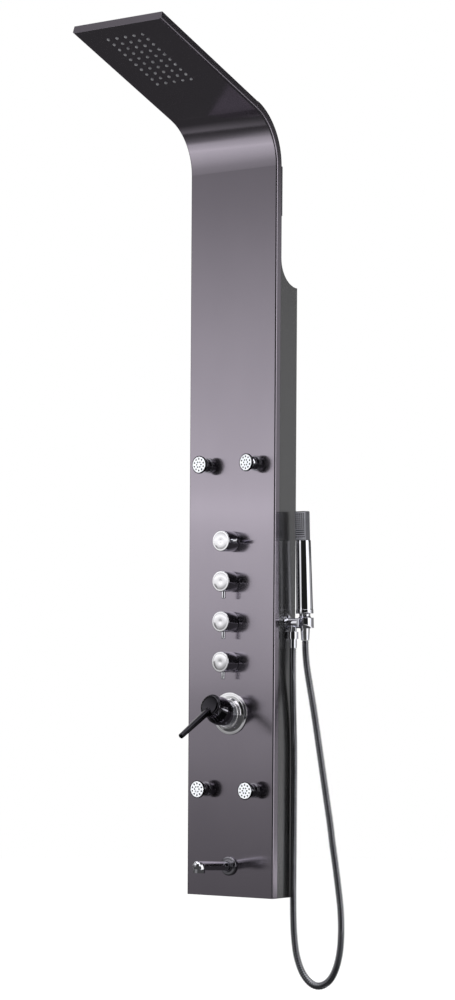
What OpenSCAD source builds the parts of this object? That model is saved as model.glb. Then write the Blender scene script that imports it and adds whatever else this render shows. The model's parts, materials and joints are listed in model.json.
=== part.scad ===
// Wall-hung rainfall shower column: a folded steel panel whose top bends forward into
// a rain arm, with body jets, stop valves, a lever mixer, a tub spout and a hand shower.
// Millimetres. X runs to the user's right, Y towards the wall, Z up. The origin is the
// middle of the upper wall bracket's screw line, on the wall.

/* [Panel] */
// Width of the panel
panel_w = 200; // [180:1:260]
// Height of the flat face, from the bottom edge to where the bend starts
face_h = 1355; // [1345:5:1500]
// Depth of the folded front tray
tray_d = 14.6; // [13.5:0.1:18]
// Thickness of the folded sheet
sheet = 1.5; // [1:0.1:2]
// Outer radius of the two long folds
fold_r = 3.5; // [2.5:0.5:6]
// Inner radius of the bend below the rain arm
bend_r = 100; // [90:1:120]
// Rise of the rain arm above level, in degrees
arm_rise = 21.2; // [15:0.1:28]
// Flat length of the rain arm, from the bend to its tip
arm_l = 307; // [295:1:340]

/* [Housing] */
// Depth from the front face to the rear edge of the housing
body_d = 68; // [66:1:80]
// Drop from the start of the bend to the housing's square rear shoulder
shoulder_drop = 220; // [205:5:245]
// How far the housing's sides stand in from the tray's sides
housing_inset = 1; // [0.6:0.1:2]
// Width of the lips folded in along the housing's rear edges
rear_lip = 14; // [10:1:20]
// Depth of the channel that closes the neck behind the tray
neck_d = 2.7; // [2.2:0.1:4]
// Length of the bend cover's tail below the start of the bend
tail_l = 91; // [70:1:110]
// Extra thickness of that tail
tail_t = 2.1; // [1.5:0.1:3]
// Thickness of the cover round the bend
bend_cover_t = 1.7; // [1.5:0.1:2.6]

/* [Wall mounting] */
// Space between the wall and the housing's rear edge
wall_gap = 18; // [16:1:30]
// Drop from the housing's shoulder to the upper wall bracket
upper_hook_drop = 75; // [60:5:115]
// Height of the lower wall bracket above the panel's bottom edge
lower_hook_h = 120; // [110:5:150]
// Distance between the two screws of a wall bracket
screw_spacing = 120; // [100:5:126]
// Radius of the wall screw holes
screw_hole_r = 2.75; // [2:0.25:4]
// Width of a wall bracket
bracket_w = 150; // [144:1:160]
// Height of a wall bracket and of the hanging rail that hooks on it
bracket_h = 40; // [36:1:50]
// Thickness of brackets and rails
bracket_t = 2; // [1.5:0.1:3]

/* [Rain head] */
// Nozzle columns across the arm
rain_columns = 5; // [3:1:6]
// Nozzle rows along the arm
rain_rows = 10; // [6:1:11]
// Spacing of the columns
rain_pitch_x = 19.4; // [16:0.1:22]
// Spacing of the rows
rain_pitch_s = 16.9; // [14:0.1:18]
// Distance from the arm's tip to the first row
rain_first = 34.7; // [30:0.1:45]
// Sideways offset of the nozzle field
rain_offset_x = -4; // [-8:0.5:8]
// Radius of a silicone nozzle
nozzle_r = 2.8; // [2:0.1:3.5]
// How far a nozzle stands out of the arm
nozzle_out = 2; // [1:0.1:3]

/* [Body jets] */
// Distance of each jet from the panel's centre line
jet_x = 55.5; // [50:0.5:70]
// Height of the upper pair
jet_upper_h = 806.5; // [780:0.5:860]
// Height of the lower pair
jet_lower_h = 199.5; // [190:0.5:215]
// Radius of a jet's spray face
jet_face_r = 15.9; // [14:0.1:18]
// Radius of a jet's ball
jet_ball_r = 9; // [8.5:0.1:9.5]
// How far a spray face stands off the panel
jet_out = 29; // [28:0.5:34]
// Inward turn of the upper right jet at rest, in degrees
jet_turn = 8; // [0:1:10]

/* [Stop valves] */
// Height of the top valve
valve_top_h = 662.5; // [640:0.5:680]
// Spacing of the valves
valve_pitch = 75; // [60:0.5:78]
// Radius of a knob
knob_r = 19.4; // [18.5:0.1:22]
// How far a knob's front stands off the panel
knob_out = 33; // [31:0.5:40]
// Radius of the valve stems
stem_r = 4; // [3:0.1:5]
// Radius of a knob's grip pin
pin_r = 3.6; // [3:0.1:4.5]
// How far a grip pin stands out of its knob
pin_out = 12.5; // [8:0.5:18]
// Distance of a grip pin behind its knob's front
pin_back = 10; // [7:0.5:11]

/* [Mixer] */
// Drop from the lowest valve to the mixer
mixer_drop = 96; // [90:0.5:104]
// Radius of the escutcheon
escutcheon_r = 39.5; // [36:0.5:44]
// Radius of the lever hub's front
hub_r = 22; // [20:0.5:23]
// Distance of the lever's tilt axis in front of the panel
tilt_out = 20; // [19:0.5:22]
// Length of the hub in front of the tilt axis
hub_l = 46; // [42:0.5:52]
// Lift of the lever at rest, in degrees
lever_lift = 20; // [15:1:22]
// Length of the handle rod in front of the hub
rod_l = 96; // [80:0.5:120]
// Radius of the handle rod
rod_r = 6.5; // [5:0.1:7]
// Angle of the rod below the hub's axis, in degrees
rod_angle = 49; // [45:1:55]

/* [Tub spout] */
// Height of the spout
spout_h = 57; // [50:1:80]
// Reach of the spout in front of the panel
spout_l = 106; // [90:1:140]
// Upward slope of the spout, in degrees
spout_rise = 3; // [0:0.5:6]
// Radius of the spout tube
spout_r = 8.6; // [8:0.1:10]
// Radius of the spout's flange
spout_flange_r = 18; // [16:0.5:22]

/* [Hand shower] */
// Height of the outlet elbow and the holder
outlet_h = 511; // [500:1:520]
// Distance of the elbow behind the front face
outlet_y = 44; // [40:0.5:50]
// Distance of the hose nut's axis from the panel's side
outlet_out = 11; // [10.5:0.1:14]
// Distance of the hand shower's axis from the panel's side
holder_out = 23; // [21:0.5:30]
// Distance of the holder's axis behind the front face
holder_y = 65.5; // [62:0.5:67]
// Forward lean of the hand shower, in degrees
hand_lean = 2.5; // [0:0.5:8]
// Outer radius of the holder ring
ring_r = 16.5; // [16:0.1:18]
// Height of the holder ring
ring_h = 19; // [16:0.5:22]
// Radius of the handle at its foot
grip_foot_r = 16.4; // [14:0.1:17.5]
// Radius of the handle below the spray head
grip_top_r = 14; // [13:0.1:15]
// Length of the handle
grip_l = 136; // [120:1:160]
// Length of the spray head
head_l = 54; // [45:1:65]
// Outer radius of the hose
hose_r = 7; // [6:0.1:7.5]

/* [Fits] */
// Radial clearance of a turning fit
run_gap = 0.05; // [0.02:0.01:0.09]
// Gap between neighbouring pieces that move apart
free_gap = 0.4; // [0.3:0.05:0.6]
// Gap between a piece and the sheet it drops into
seat_gap = 0.1; // [0.05:0.05:0.3]

/* [Hidden] */

$fn = 64;
over = 1;                                   // how far a cutter runs past its piece
cut_l = 100;                                // a cutter that goes right through a small piece
shoulder_h = face_h - shoulder_drop;        // heights above the panel's bottom edge
tail_h = face_h - tail_l;
upper_hook_h = shoulder_h - upper_hook_drop;
hook_h = upper_hook_h;                      // the origin's height
valve_low_h = valve_top_h - 3 * valve_pitch;
mixer_h = valve_low_h - mixer_drop;
face_y = -(wall_gap + body_d);              // the front face
bend_angle = 90 - arm_rise;
bend_lap = 0.1;     // the arm's sheet runs this far into the bend
bend_step = 0.05;   // and stands this far inside the bend's faces
arm_seat = sheet + bend_step;               // upper face of the arm's lower sheet
housing_w = panel_w - 2 * housing_inset;
housing_x = housing_w / 2;
neck_y = tray_d + neck_d;                   // rear plane of the neck, behind the front face
shoulder_r = body_d - neck_y;
shoulder_top = shoulder_h + shoulder_r;
steel = "dimgray";
chrome = "silver";
brass = "goldenrod";

riser_in = 19;                              // a riser pipe, in from the housing's side
nut_wall = 5;                               // a lock nut, beyond its bore

// Jets: name suffix order is upper left, upper right, lower left, lower right.
jet_places = [[-jet_x, jet_upper_h], [jet_x, jet_upper_h],
              [-jet_x, jet_lower_h], [jet_x, jet_lower_h]];
jet_aims = [0, -jet_turn, 0, 0];
jet_ball_out = 11;                          // the ball's centre, in front of the panel
jet_shank_r = 8;
jet_shank_back = 22;                        // rear end of the shanks, behind the front face
jet_bore_r = 3;
jet_flange_r = 14;
jet_neck_r = 7;
jet_hole_r = 0.9;
jet_pipe_r = 6;
jet_pipe_y = jet_shank_back + jet_pipe_r + 1;
jet_riser_x = -housing_x + riser_in;

// Valves: angle of each grip pin at rest, counted from straight down towards the right.
pin_angles = [90, 0, 0, 0];
valve_hole_r = 12;
bonnet_r = valve_hole_r - seat_gap;
bonnet_flange_r = 15;
bonnet_out = 9;
collar_r = 15;
collar_t = 2.5;
knob_wall = 2.4;
knob_cavity_out = knob_out - pin_back - pin_r - 1.5;
knob_web = 5;                               // solid front of the knob, ahead of the stem
pin_root = 5;                               // how far a grip pin is let into its knob
knob_gap = 0.8;                             // gap between knob and panel
knob_round = 1.2;
manifold_w = 34;
manifold_y0 = 22;                           // front of the manifold, behind the front face
manifold_y1 = 52;
port_r = 10;
port_deep = 16;
stem_in = 7;                                // how far a stem reaches into the manifold
manifold_over = 27;                         // how far the manifold runs past its end valves
manifold_h0 = valve_low_h - manifold_over;
manifold_h1 = valve_top_h + manifold_over;

// Mixer, measured out from the front face unless a name ends in _y.
mixer_body_r = 27;
mixer_body_y0 = sheet + 6;
mixer_body_y1 = 58;
mixer_hole_r = 25;
mixer_neck_r = 8;
cartridge_r = 17.5;
cartridge_y1 = 40;
core_r = 9;
core_out = 26;
bonnet_ball_r = 22.5;
bonnet_skirt_r = 24;
bonnet_mouth_r = 15.5;
hub_skirt_r = 26;
hub_back = 8;                               // rear edge of the hub, ahead of the tilt axis
stem_w = 7.6;
stem_t = 8;
stem_l = 34;
slot_w = stem_w + 2 * free_gap;
tilt_pin_r = 2;
hub_dome = 4;                               // rise of the hub's domed front
rod_low = 11;                               // the rod's root, below the hub's axis
rod_root = 12;                              // how far the rod is let into the hub
rod_straight = 16;                          // its straight part, before the taper
rod_tip_r = 5;
inlet_x = 60;
inlet_y = 44;
inlet_arm_r = 11;
inlet_r = 10.5;                             // G1/2 outside thread
inlet_l = 14;
inlet_drop = 18;
inlet_bore_r = 6.5;
core_slot_low = 9;                          // foot of the core's slot, below the tilt axis

// Spout
spout_shank_y = 22;
spout_shank_r = spout_r - 0.6;
spout_straight = 4;                         // where the tube starts to slope up
spout_sleeve_l = 9;                         // length of the flange's sleeve round the tube
spout_pipe_x = housing_x - riser_in;
spout_pipe_r = 5;
spout_pipe_y = manifold_y0 + spout_pipe_r + 1;
spout_lip_r = 11;
spout_lip_drop = 13.5;
spout_lip_back = 14;
spout_lip_rise = 8;                         // top of the outlet, above the tube's axis
aerator_r = 8.5;

// Hand shower
hand_x = panel_w / 2 + holder_out;
outlet_x = panel_w / 2 + outlet_out;
bar_r = 8.5;                                // the outlet's bar, out from the housing's side
bar_over = 14;                              // its length beyond the hose outlet
elbow_shank_r = 9.5;
elbow_shank_x = housing_x - 15;
hand_pipe_r = 6;
outlet_stub_r = 7;
outlet_nut_r = 10.2;
outlet_nut_top = 17;                        // below the elbow's axis
outlet_stub_in = 8;                         // how far the stub enters the nut
outlet_nut_l = 13;
outlet_sleeve_l = 17;
ring_slot_w = 2 * hose_r + 2;               // the front slot lets the hose pass
seat_top_r = 13;
seat_foot_r = 11.4;
collar_low = 17.5;                          // foot of the handle, above the ring's middle
collar_h = 7.5;
hand_neck_r = 10.4;
hand_nut_top = 10;                          // below the ring's middle
hand_stub_r = 6.4;
hand_stub_in = 10;                          // how far the handle's stub enters its nut
hand_nut_l = 22;
hand_nut_r = 9;
hand_nut_foot_r = 7.6;
head_r = 12.6;
head_face = 10;
face_plate_t = 1;

// The hose's centre line, from the outlet nut down round the loop to the hand shower.
hose_route = [
    [111, -42, -596], [111, -42, -625], [110, -40, -660], [108, -36, -700],
    [107, -32.5, -740], [106.8, -30.5, -780], [106.8, -30, -820], [106.8, -30, -860],
    [106.8, -30, -900], [106.8, -30, -940], [106.8, -30, -980], [106.8, -30, -1020],
    [107, -30.3, -1060], [108.5, -31.3, -1100], [112, -32.8, -1135], [119, -34, -1169],
    [132, -34, -1198], [150, -33, -1216], [170, -32, -1220], [190, -31, -1209],
    [204, -30, -1186], [212, -29, -1154], [214, -28, -1118], [212, -27, -1080],
    [206, -26, -1040], [199, -25, -1000], [192, -25, -960], [185, -24, -920],
    [177, -23, -880], [169, -22, -840], [161, -21, -800], [153, -20, -760],
    [146, -20, -722], [139, -19, -690], [132, -18, -660], [126, -17.8, -630],
    [123, -18.2, -601], [123, -19.1, -581.2]];
hose_sides = 10;

// Hanging rails and the brackets they hook on, in the panel's depth and height.
rail_y1 = body_d - sheet;
rail_y0 = rail_y1 - bracket_t;
tab_w = 22;
tab_x = 40;
tab_t = 2.5;
tab_lift = 9;
window_h = tab_lift + tab_t + 4;
window_side = 2;                            // play beside a tab in its window

// Rain chamber, in the arm's own frame.
chamber_margin = 9;
chamber_x0 = rain_offset_x - (rain_columns - 1) / 2 * rain_pitch_x - chamber_margin;
chamber_x1 = rain_offset_x + (rain_columns - 1) / 2 * rain_pitch_x + chamber_margin;
chamber_s1 = arm_l - rain_first + chamber_margin;
chamber_s0 = chamber_s1 - (rain_rows - 1) * rain_pitch_s - 2 * chamber_margin;
chamber_wall = 1.5;
nozzle_flange_r = nozzle_r + 1.4;
nozzle_flange_t = 1;
feed_r = 4;
feed_boss_r = feed_r + 1.8;
feed_y = sheet + feed_boss_r + 0.2;         // the feed tube's centre, behind the face
feed_x = rain_offset_x;
feed_lift = 8;                              // the feed elbow's axis, above the manifold

// ---------- placing ----------

// Height above the panel's bottom edge, as a Z coordinate.
function up(h) = h - hook_h;

// Children built along +Z stand out of the front face at (x, h).
module outward(x, h) {
    translate([x, face_y, up(h)]) rotate([90, 0, 0]) children();
}

// Children in (depth, height) of the panel, drawn across its width.
module across(w) {
    translate([0, face_y, up(0)]) rotate([90, 0, 90])
        linear_extrude(w, center = true) children();
}

// Half profile of a rod of radius r and length l with a round far end.
module round_ended(r, l) {
    square([r, l - r]);
    intersection() {
        translate([0, l - r]) circle(r);
        translate([0, l - r]) square([r, r]);
    }
}

// Children in the arm's own frame: Z along the arm from the end of the bend,
// Y from its underside up.
module on_arm() {
    translate([0, face_y - bend_r, up(face_h)]) rotate([bend_angle, 0, 0])
        translate([0, bend_r, 0]) children();
}

// Children drawn as (depth, across) and turned through the bend.
module round_bend() {
    translate([0, face_y - bend_r, up(face_h)]) rotate([90, 0, 90])
        rotate_extrude(angle = bend_angle) translate([bend_r, 0]) children();
}

// Children built along +Z in the hand shower's leaning frame, from the ring's middle.
module on_holder() {
    translate([hand_x, face_y + holder_y, up(outlet_h)]) rotate([hand_lean, 0, 0])
        children();
}

// Children built along the lever's axis from the tilt axis.
module on_lever() {
    outward(0, mixer_h) translate([0, 0, tilt_out]) rotate([-lever_lift, 0, 0])
        children();
}

module box(x0, x1, y0, y1, z0, z1) {
    translate([x0, y0, z0]) cube([x1 - x0, y1 - y0, z1 - z0]);
}

// A box given in the panel's depth and height.
module panel_box(x0, x1, y0, y1, h0, h1) {
    box(x0, x1, face_y + y0, face_y + y1, up(h0), up(h1));
}

// A rod between two heights or along one axis, all in the panel's depth and height.
module rod_x(x0, x1, y, h, r) {
    translate([x0, face_y + y, up(h)]) rotate([0, 90, 0]) cylinder(r = r, h = x1 - x0);
}
module rod_y(x, y0, y1, h, r) {
    translate([x, face_y + y0, up(h)]) rotate([-90, 0, 0]) cylinder(r = r, h = y1 - y0);
}
module rod_z(x, y, h0, h1, r) {
    translate([x, face_y + y, up(h0)]) cylinder(r = r, h = h1 - h0);
}

// ---------- panel ----------

module fold_outline(w, d, r) {
    translate([-w / 2 + r, 0]) square([w - 2 * r, d]);
    translate([-w / 2, r]) square([w, d - r]);
    for (s = [-1, 1]) translate([s * (w / 2 - r), r]) circle(r);
}

module tray_section(inset = 0) {
    difference() {
        translate([0, inset])
            fold_outline(panel_w - 2 * inset, tray_d - 2 * inset, fold_r - inset);
        translate([0, sheet + inset])
            fold_outline(panel_w - 2 * (sheet + inset), tray_d, fold_r - sheet - inset);
    }
}

module panel_holes() {
    for (p = jet_places)
        outward(p[0], p[1]) translate([0, 0, -2 * sheet])
            cylinder(r = jet_shank_r + seat_gap, h = 4 * sheet);
    for (i = [0:3])
        outward(0, valve_top_h - i * valve_pitch) translate([0, 0, -2 * sheet])
            cylinder(r = valve_hole_r, h = 4 * sheet);
    outward(0, mixer_h) translate([0, 0, -2 * sheet]) cylinder(r = mixer_hole_r, h = 4 * sheet);
    outward(0, spout_h) translate([0, 0, -2 * sheet])
        cylinder(r = spout_shank_r + seat_gap, h = 4 * sheet);
}

function nozzle_place(i, j) =
    [rain_offset_x + (i - (rain_columns - 1) / 2) * rain_pitch_x,
     arm_l - rain_first - j * rain_pitch_s];

module each_nozzle() {
    for (i = [0:rain_columns - 1], j = [0:rain_rows - 1])
        translate([nozzle_place(i, j)[0], 0, nozzle_place(i, j)[1]]) rotate([-90, 0, 0])
            children();
}

module front_panel() {
    color(steel) difference() {
        union() {
            translate([0, face_y, up(0)]) linear_extrude(face_h) tray_section();
            round_bend() mirror([1, 0]) rotate(90) tray_section();
            on_arm() translate([0, 0, -bend_lap])
                linear_extrude(arm_l + bend_lap) tray_section(bend_step);
            on_arm() box(-panel_w / 2 + sheet, panel_w / 2 - sheet, sheet, tray_d,
                         arm_l - sheet, arm_l);
        }
        panel_holes();
        on_arm() each_nozzle() translate([0, 0, -over])
            cylinder(r = nozzle_r + seat_gap, h = sheet + 2 * over, $fn = 24);
    }
}

// Side outline of the housing in (depth, height); cut_in thins it from the curved top.
module housing_outline(front, rear, cut_in) {
    difference() {
        translate([front, -cut_in]) square([rear - front, shoulder_top + cut_in]);
        translate([body_d, shoulder_top]) circle(shoulder_r + cut_in, $fn = 128);
    }
}

module rear_housing() {
    lip_x = housing_x - sheet;
    color([0.3, 0.3, 0.31]) difference() {
        union() {
            difference() {
                across(housing_w) housing_outline(tray_d, body_d, 0);
                across(housing_w - 2 * sheet)
                    housing_outline(tray_d - over, body_d + over, sheet);
            }
            for (s = [-1, 1])
                panel_box(min(s * lip_x, s * (housing_x - rear_lip)),
                          max(s * lip_x, s * (housing_x - rear_lip)),
                          body_d - sheet, body_d, 0, shoulder_h - sheet / 2);
        }
        rod_x(housing_x - 3 * sheet, housing_x + 3 * sheet, outlet_y, outlet_h,
              elbow_shank_r + seat_gap);
    }
}

module bottom_cap() {
    inner_x = housing_x - sheet - seat_gap;
    color([0.3, 0.3, 0.31]) {
        panel_box(-inner_x, inner_x, tray_d, body_d - sheet - seat_gap, 0, sheet);
        panel_box(-inner_x + sheet, inner_x - sheet, sheet + seat_gap, tray_d, 0, sheet);
    }
}

module neck_cover() {
    color([0.3, 0.3, 0.31])
        panel_box(-housing_x, housing_x, tray_d, neck_y, shoulder_top, tail_h);
}

module bend_cover() {
    color([0.25, 0.25, 0.26]) {
        panel_box(-housing_x, housing_x, tray_d, neck_y + tail_t, tail_h, face_h);
        translate([0, face_y - bend_r, up(face_h)]) rotate([90, 0, 90])
            rotate_extrude(angle = bend_angle, $fn = 128)
                translate([bend_r + tray_d, -housing_x])
                    square([bend_cover_t, housing_w]);
    }
}

module arm_lid() {
    color([0.25, 0.25, 0.26]) on_arm()
        box(-panel_w / 2 + sheet + seat_gap, panel_w / 2 - sheet - seat_gap,
            tray_d - sheet, tray_d, seat_gap, arm_l - sheet - seat_gap);
}

// ---------- wall mounting ----------

module hanging_rails() {
    rail_x = housing_x - sheet - seat_gap;
    color("gray") for (h = [upper_hook_h, lower_hook_h]) difference() {
        panel_box(-rail_x, rail_x, rail_y0, rail_y1, h - bracket_h / 2, h + bracket_h / 2);
        for (s = [-1, 1])
            panel_box(s * tab_x - tab_w / 2 - window_side, s * tab_x + tab_w / 2 + window_side,
                      rail_y0 - over, rail_y1 + over, h - window_h / 2, h + window_h / 2);
    }
}

// A plate on the wall with two tabs that reach through the rail's windows and turn up.
module wall_bracket(h) {
    tab_top = window_h / 2;
    tab_y = rail_y0 - bracket_t - free_gap;
    color("darkgray") difference() {
        union() {
            panel_box(-bracket_w / 2, bracket_w / 2, body_d + wall_gap - bracket_t,
                      body_d + wall_gap, h - bracket_h / 2, h + bracket_h / 2);
            for (s = [-1, 1]) {
                panel_box(s * tab_x - tab_w / 2, s * tab_x + tab_w / 2, tab_y,
                          body_d + wall_gap - bracket_t, h + tab_top - tab_t, h + tab_top);
                panel_box(s * tab_x - tab_w / 2, s * tab_x + tab_w / 2, tab_y,
                          tab_y + bracket_t, h + tab_top, h + tab_top + tab_lift);
            }
        }
        for (s = [-1, 1])
            rod_y(s * screw_spacing / 2, body_d + wall_gap - bracket_t - over,
                  body_d + wall_gap + over, h, screw_hole_r);
    }
}

// ---------- rain head ----------

module rain_chamber() {
    y0 = arm_seat;
    y1 = tray_d - sheet - seat_gap;
    color("dimgray") on_arm() difference() {
        box(chamber_x0, chamber_x1, y0, y1, chamber_s0, chamber_s1);
        box(chamber_x0 + chamber_wall, chamber_x1 - chamber_wall, y0 + nozzle_flange_t + 1,
            y1 - chamber_wall, chamber_s0 + chamber_wall, chamber_s1 - chamber_wall);
        each_nozzle() cylinder(r = nozzle_flange_r, h = arm_seat + nozzle_flange_t, $fn = 24);
        each_nozzle() cylinder(r = nozzle_r / 2, h = arm_seat + 4, $fn = 24);
        translate([feed_x, feed_y, chamber_s0 - over])
            cylinder(r = feed_r + seat_gap, h = 2 * over + 1);
    }
}

module rain_nozzles() {
    tip_r = nozzle_r * 0.62;
    bore_r = nozzle_r * 0.25;
    color([0.45, 0.45, 0.47]) on_arm() each_nozzle() rotate_extrude($fn = 24)
        polygon([[bore_r, -nozzle_out], [tip_r, -nozzle_out], [nozzle_r, -nozzle_out / 2],
                 [nozzle_r, arm_seat], [nozzle_flange_r, arm_seat],
                 [nozzle_flange_r, arm_seat + nozzle_flange_t],
                 [bore_r, arm_seat + nozzle_flange_t]]);
}

feed_h = manifold_h1 + feed_lift;
feed_seat_h = feed_h + feed_boss_r + 2;     // foot of the feed tube in its boss

// Straight runs and a bend, joined by sleeves that start ahead of each joint.
module rain_feed_tube() {
    sleeve_r = feed_r + 0.8;
    sleeve_l = 10;
    ahead = 3;
    color("darkgray") {
        rod_z(feed_x, feed_y, feed_seat_h, face_h - 1, feed_r);
        rod_z(feed_x, feed_y, face_h - sleeve_l + ahead, face_h + ahead, sleeve_r);
        translate([feed_x, 0, 0]) round_bend() translate([feed_y, 0]) circle(feed_r);
        on_arm() translate([feed_x, feed_y, 1])
            cylinder(r = feed_r, h = chamber_s0 + chamber_wall - 1);
        on_arm() translate([feed_x, feed_y, -ahead]) cylinder(r = sleeve_r, h = sleeve_l);
    }
}

module rain_feed_elbow() {
    stub_r = 7;
    arm_r = feed_boss_r - 0.6;
    cap = 6.5;
    stub_y = (manifold_y0 + manifold_y1) / 2;
    color(brass) difference() {
        union() {
            rod_y(feed_x, feed_y, stub_y, feed_h, arm_r);
            rod_z(feed_x, stub_y, manifold_h1, feed_h + cap, stub_r);
            rod_z(feed_x, feed_y, feed_h - cap, feed_seat_h + 12, feed_boss_r);
        }
        rod_z(feed_x, feed_y, feed_seat_h, feed_seat_h + 12 + over, feed_r + seat_gap);
    }
}

// ---------- body jets ----------

module jet_sockets() {
    seat_r = jet_ball_r + free_gap;
    lip_out = jet_ball_out + 2;
    color(chrome) for (p = jet_places) outward(p[0], p[1]) difference() {
        union() {
            cylinder(r = jet_flange_r, h = 2.5);
            cylinder(r = jet_ball_r + 2.8, h = lip_out);
            translate([0, 0, -jet_shank_back]) cylinder(r = jet_shank_r, h = jet_shank_back);
        }
        translate([0, 0, jet_ball_out]) sphere(seat_r);
        translate([0, 0, -jet_shank_back - over])
            cylinder(r = jet_bore_r, h = jet_shank_back + jet_ball_out);
    }
}

module hex_nut(bore_r, across_r, h) {
    difference() {
        cylinder(r = across_r, h = h, $fn = 6);
        translate([0, 0, -over]) cylinder(r = bore_r, h = h + 2 * over);
    }
}

module lock_nuts() {
    nut_h = 4.5;
    color(brass) {
        for (p = jet_places)
            outward(p[0], p[1]) translate([0, 0, -sheet - nut_h])
                hex_nut(jet_shank_r + seat_gap, jet_shank_r + nut_wall, nut_h);
        outward(0, spout_h) translate([0, 0, -sheet - nut_h])
            hex_nut(spout_shank_r + seat_gap, spout_shank_r + nut_wall, nut_h);
        translate([housing_x - sheet, face_y + outlet_y, up(outlet_h)]) rotate([0, -90, 0])
            hex_nut(elbow_shank_r + seat_gap, elbow_shank_r + nut_wall, nut_h);
    }
}

// A riser on the left feeds both pairs through a cross pipe, from the second valve.
module jet_pipework() {
    boss_r = 9;
    valve_2_h = valve_top_h - valve_pitch;
    color("peru") {
        rod_z(jet_riser_x, jet_pipe_y, jet_lower_h, jet_upper_h, jet_pipe_r);
        for (h = [jet_lower_h, jet_upper_h]) {
            rod_x(jet_riser_x, jet_x, jet_pipe_y, h, jet_pipe_r);
            translate([jet_riser_x, face_y + jet_pipe_y, up(h)]) sphere(jet_pipe_r);
        }
        for (p = jet_places)
            rod_y(p[0], jet_shank_back, jet_pipe_y + jet_pipe_r + 1, p[1], boss_r);
        rod_x(jet_riser_x, -manifold_w / 2, jet_pipe_y, valve_2_h, jet_pipe_r);
    }
}

module on_jet(i) {
    outward(jet_places[i][0], jet_places[i][1]) translate([0, 0, jet_ball_out])
        rotate([0, jet_aims[i], 0]) children();
}

module jet_ball(i) {
    color("gray") on_jet(i) difference() {
        sphere(jet_ball_r);
        translate([0, 0, -jet_ball_r - over]) cylinder(r = jet_bore_r, h = 2 * jet_ball_r + 2 * over);
    }
}

module jet_head(i) {
    face = jet_out - jet_ball_out;
    rim = 6;
    inner_ring = 5;
    outer_ring = 10.5;
    color("whitesmoke") on_jet(i) difference() {
        rotate_extrude() polygon([
            [0, 0], [jet_neck_r, 0], [jet_neck_r, face - rim - 2], [jet_face_r - 3, face - rim],
            [jet_face_r, face - rim + 2], [jet_face_r, face - 1], [jet_face_r - 1, face],
            [0, face]]);
        sphere(jet_ball_r + free_gap);
        for (k = [0:9]) rotate(k * 36) translate([outer_ring, 0, face - 2])
            cylinder(r = jet_hole_r, h = 2 + over, $fn = 16);
        for (k = [0:5]) rotate(k * 60) translate([inner_ring, 0, face - 2])
            cylinder(r = jet_hole_r, h = 2 + over, $fn = 16);
    }
}

// ---------- stop valves ----------

module each_valve() {
    for (i = [0:3]) outward(0, valve_top_h - i * valve_pitch) children();
}

module valve_manifold() {
    color(brass) difference() {
        panel_box(-manifold_w / 2, manifold_w / 2, manifold_y0, manifold_y1,
                  manifold_h0, manifold_h1);
        each_valve() translate([0, 0, -manifold_y0 - port_deep])
            cylinder(r = port_r, h = port_deep + over);
    }
}

module valve_bonnets() {
    color(brass) each_valve() difference() {
        union() {
            translate([0, 0, -manifold_y0 - port_deep])
                cylinder(r = port_r - seat_gap, h = port_deep + over);
            translate([0, 0, -manifold_y0]) cylinder(r = bonnet_flange_r, h = manifold_y0 - sheet);
            translate([0, 0, -sheet]) cylinder(r = bonnet_r, h = sheet + bonnet_out);
        }
        translate([0, 0, -manifold_y0 - stem_in - over]) cylinder(r = stem_r + run_gap, h = cut_l);
    }
}

module valve_collars() {
    color(chrome) each_valve() difference() {
        cylinder(r = collar_r, h = collar_t);
        translate([0, 0, -over]) cylinder(r = valve_hole_r, h = collar_t + 2 * over);
    }
}

module on_valve(i) {
    outward(0, valve_top_h - i * valve_pitch) children();
}

module valve_stem(i) {
    color("gray") on_valve(i) translate([0, 0, -manifold_y0 - stem_in])
        cylinder(r = stem_r, h = manifold_y0 + stem_in + knob_out - knob_web);
}

module knob(i) {
    color(chrome) on_valve(i) difference() {
        rotate_extrude() {
            translate([0, knob_gap]) square([knob_r, knob_out - knob_gap - knob_round]);
            translate([0, knob_out - knob_round - over])
                square([knob_r - knob_round, knob_round + over]);
            translate([knob_r - knob_round, knob_out - knob_round]) circle(knob_round, $fn = 24);
        }
        cylinder(r = knob_r - knob_wall, h = knob_cavity_out);
        cylinder(r = stem_r, h = knob_out - knob_web);
        rotate([0, 0, pin_angles[i] - 90]) translate([knob_r - pin_root, 0, knob_out - pin_back])
            rotate([0, 90, 0]) cylinder(r = pin_r, h = pin_root + over);
    }
}

module knob_pin(i) {
    color(chrome) on_valve(i) rotate([0, 0, pin_angles[i] - 90])
        translate([knob_r - pin_root, 0, knob_out - pin_back]) rotate([0, 90, 0])
            rotate_extrude()
                polygon([[0, 0], [pin_r, 0], [pin_r, pin_root + pin_out - 0.6],
                         [pin_r - 0.6, pin_root + pin_out], [0, pin_root + pin_out]]);
}

// ---------- mixer ----------

module mixer_body() {
    color(brass) difference() {
        union() {
            rod_y(0, mixer_body_y0, mixer_body_y1, mixer_h, mixer_body_r);
            rod_y(0, 0, mixer_body_y0, mixer_h, bonnet_skirt_r - 1);
            rod_z(0, inlet_y, mixer_h, manifold_h0, mixer_neck_r);
            rod_x(-inlet_x, inlet_x, inlet_y, mixer_h, inlet_arm_r);
            for (s = [-1, 1]) {
                rod_z(s * inlet_x, inlet_y, mixer_h - inlet_drop, mixer_h, inlet_arm_r + 1);
                rod_z(s * inlet_x, inlet_y, mixer_h - inlet_drop - inlet_l, mixer_h, inlet_r);
            }
        }
        rod_y(0, -over, cartridge_y1, mixer_h, cartridge_r);
        for (s = [-1, 1])
            rod_z(s * inlet_x, inlet_y, mixer_h - inlet_drop - inlet_l - over, mixer_h,
                  inlet_bore_r);
    }
}

module mixer_cartridge() {
    color("ivory") outward(0, mixer_h) difference() {
        translate([0, 0, -cartridge_y1]) cylinder(r = cartridge_r, h = cartridge_y1 + 6);
        translate([0, 0, -16]) cylinder(r = core_r + run_gap, h = 40);
    }
}

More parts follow.
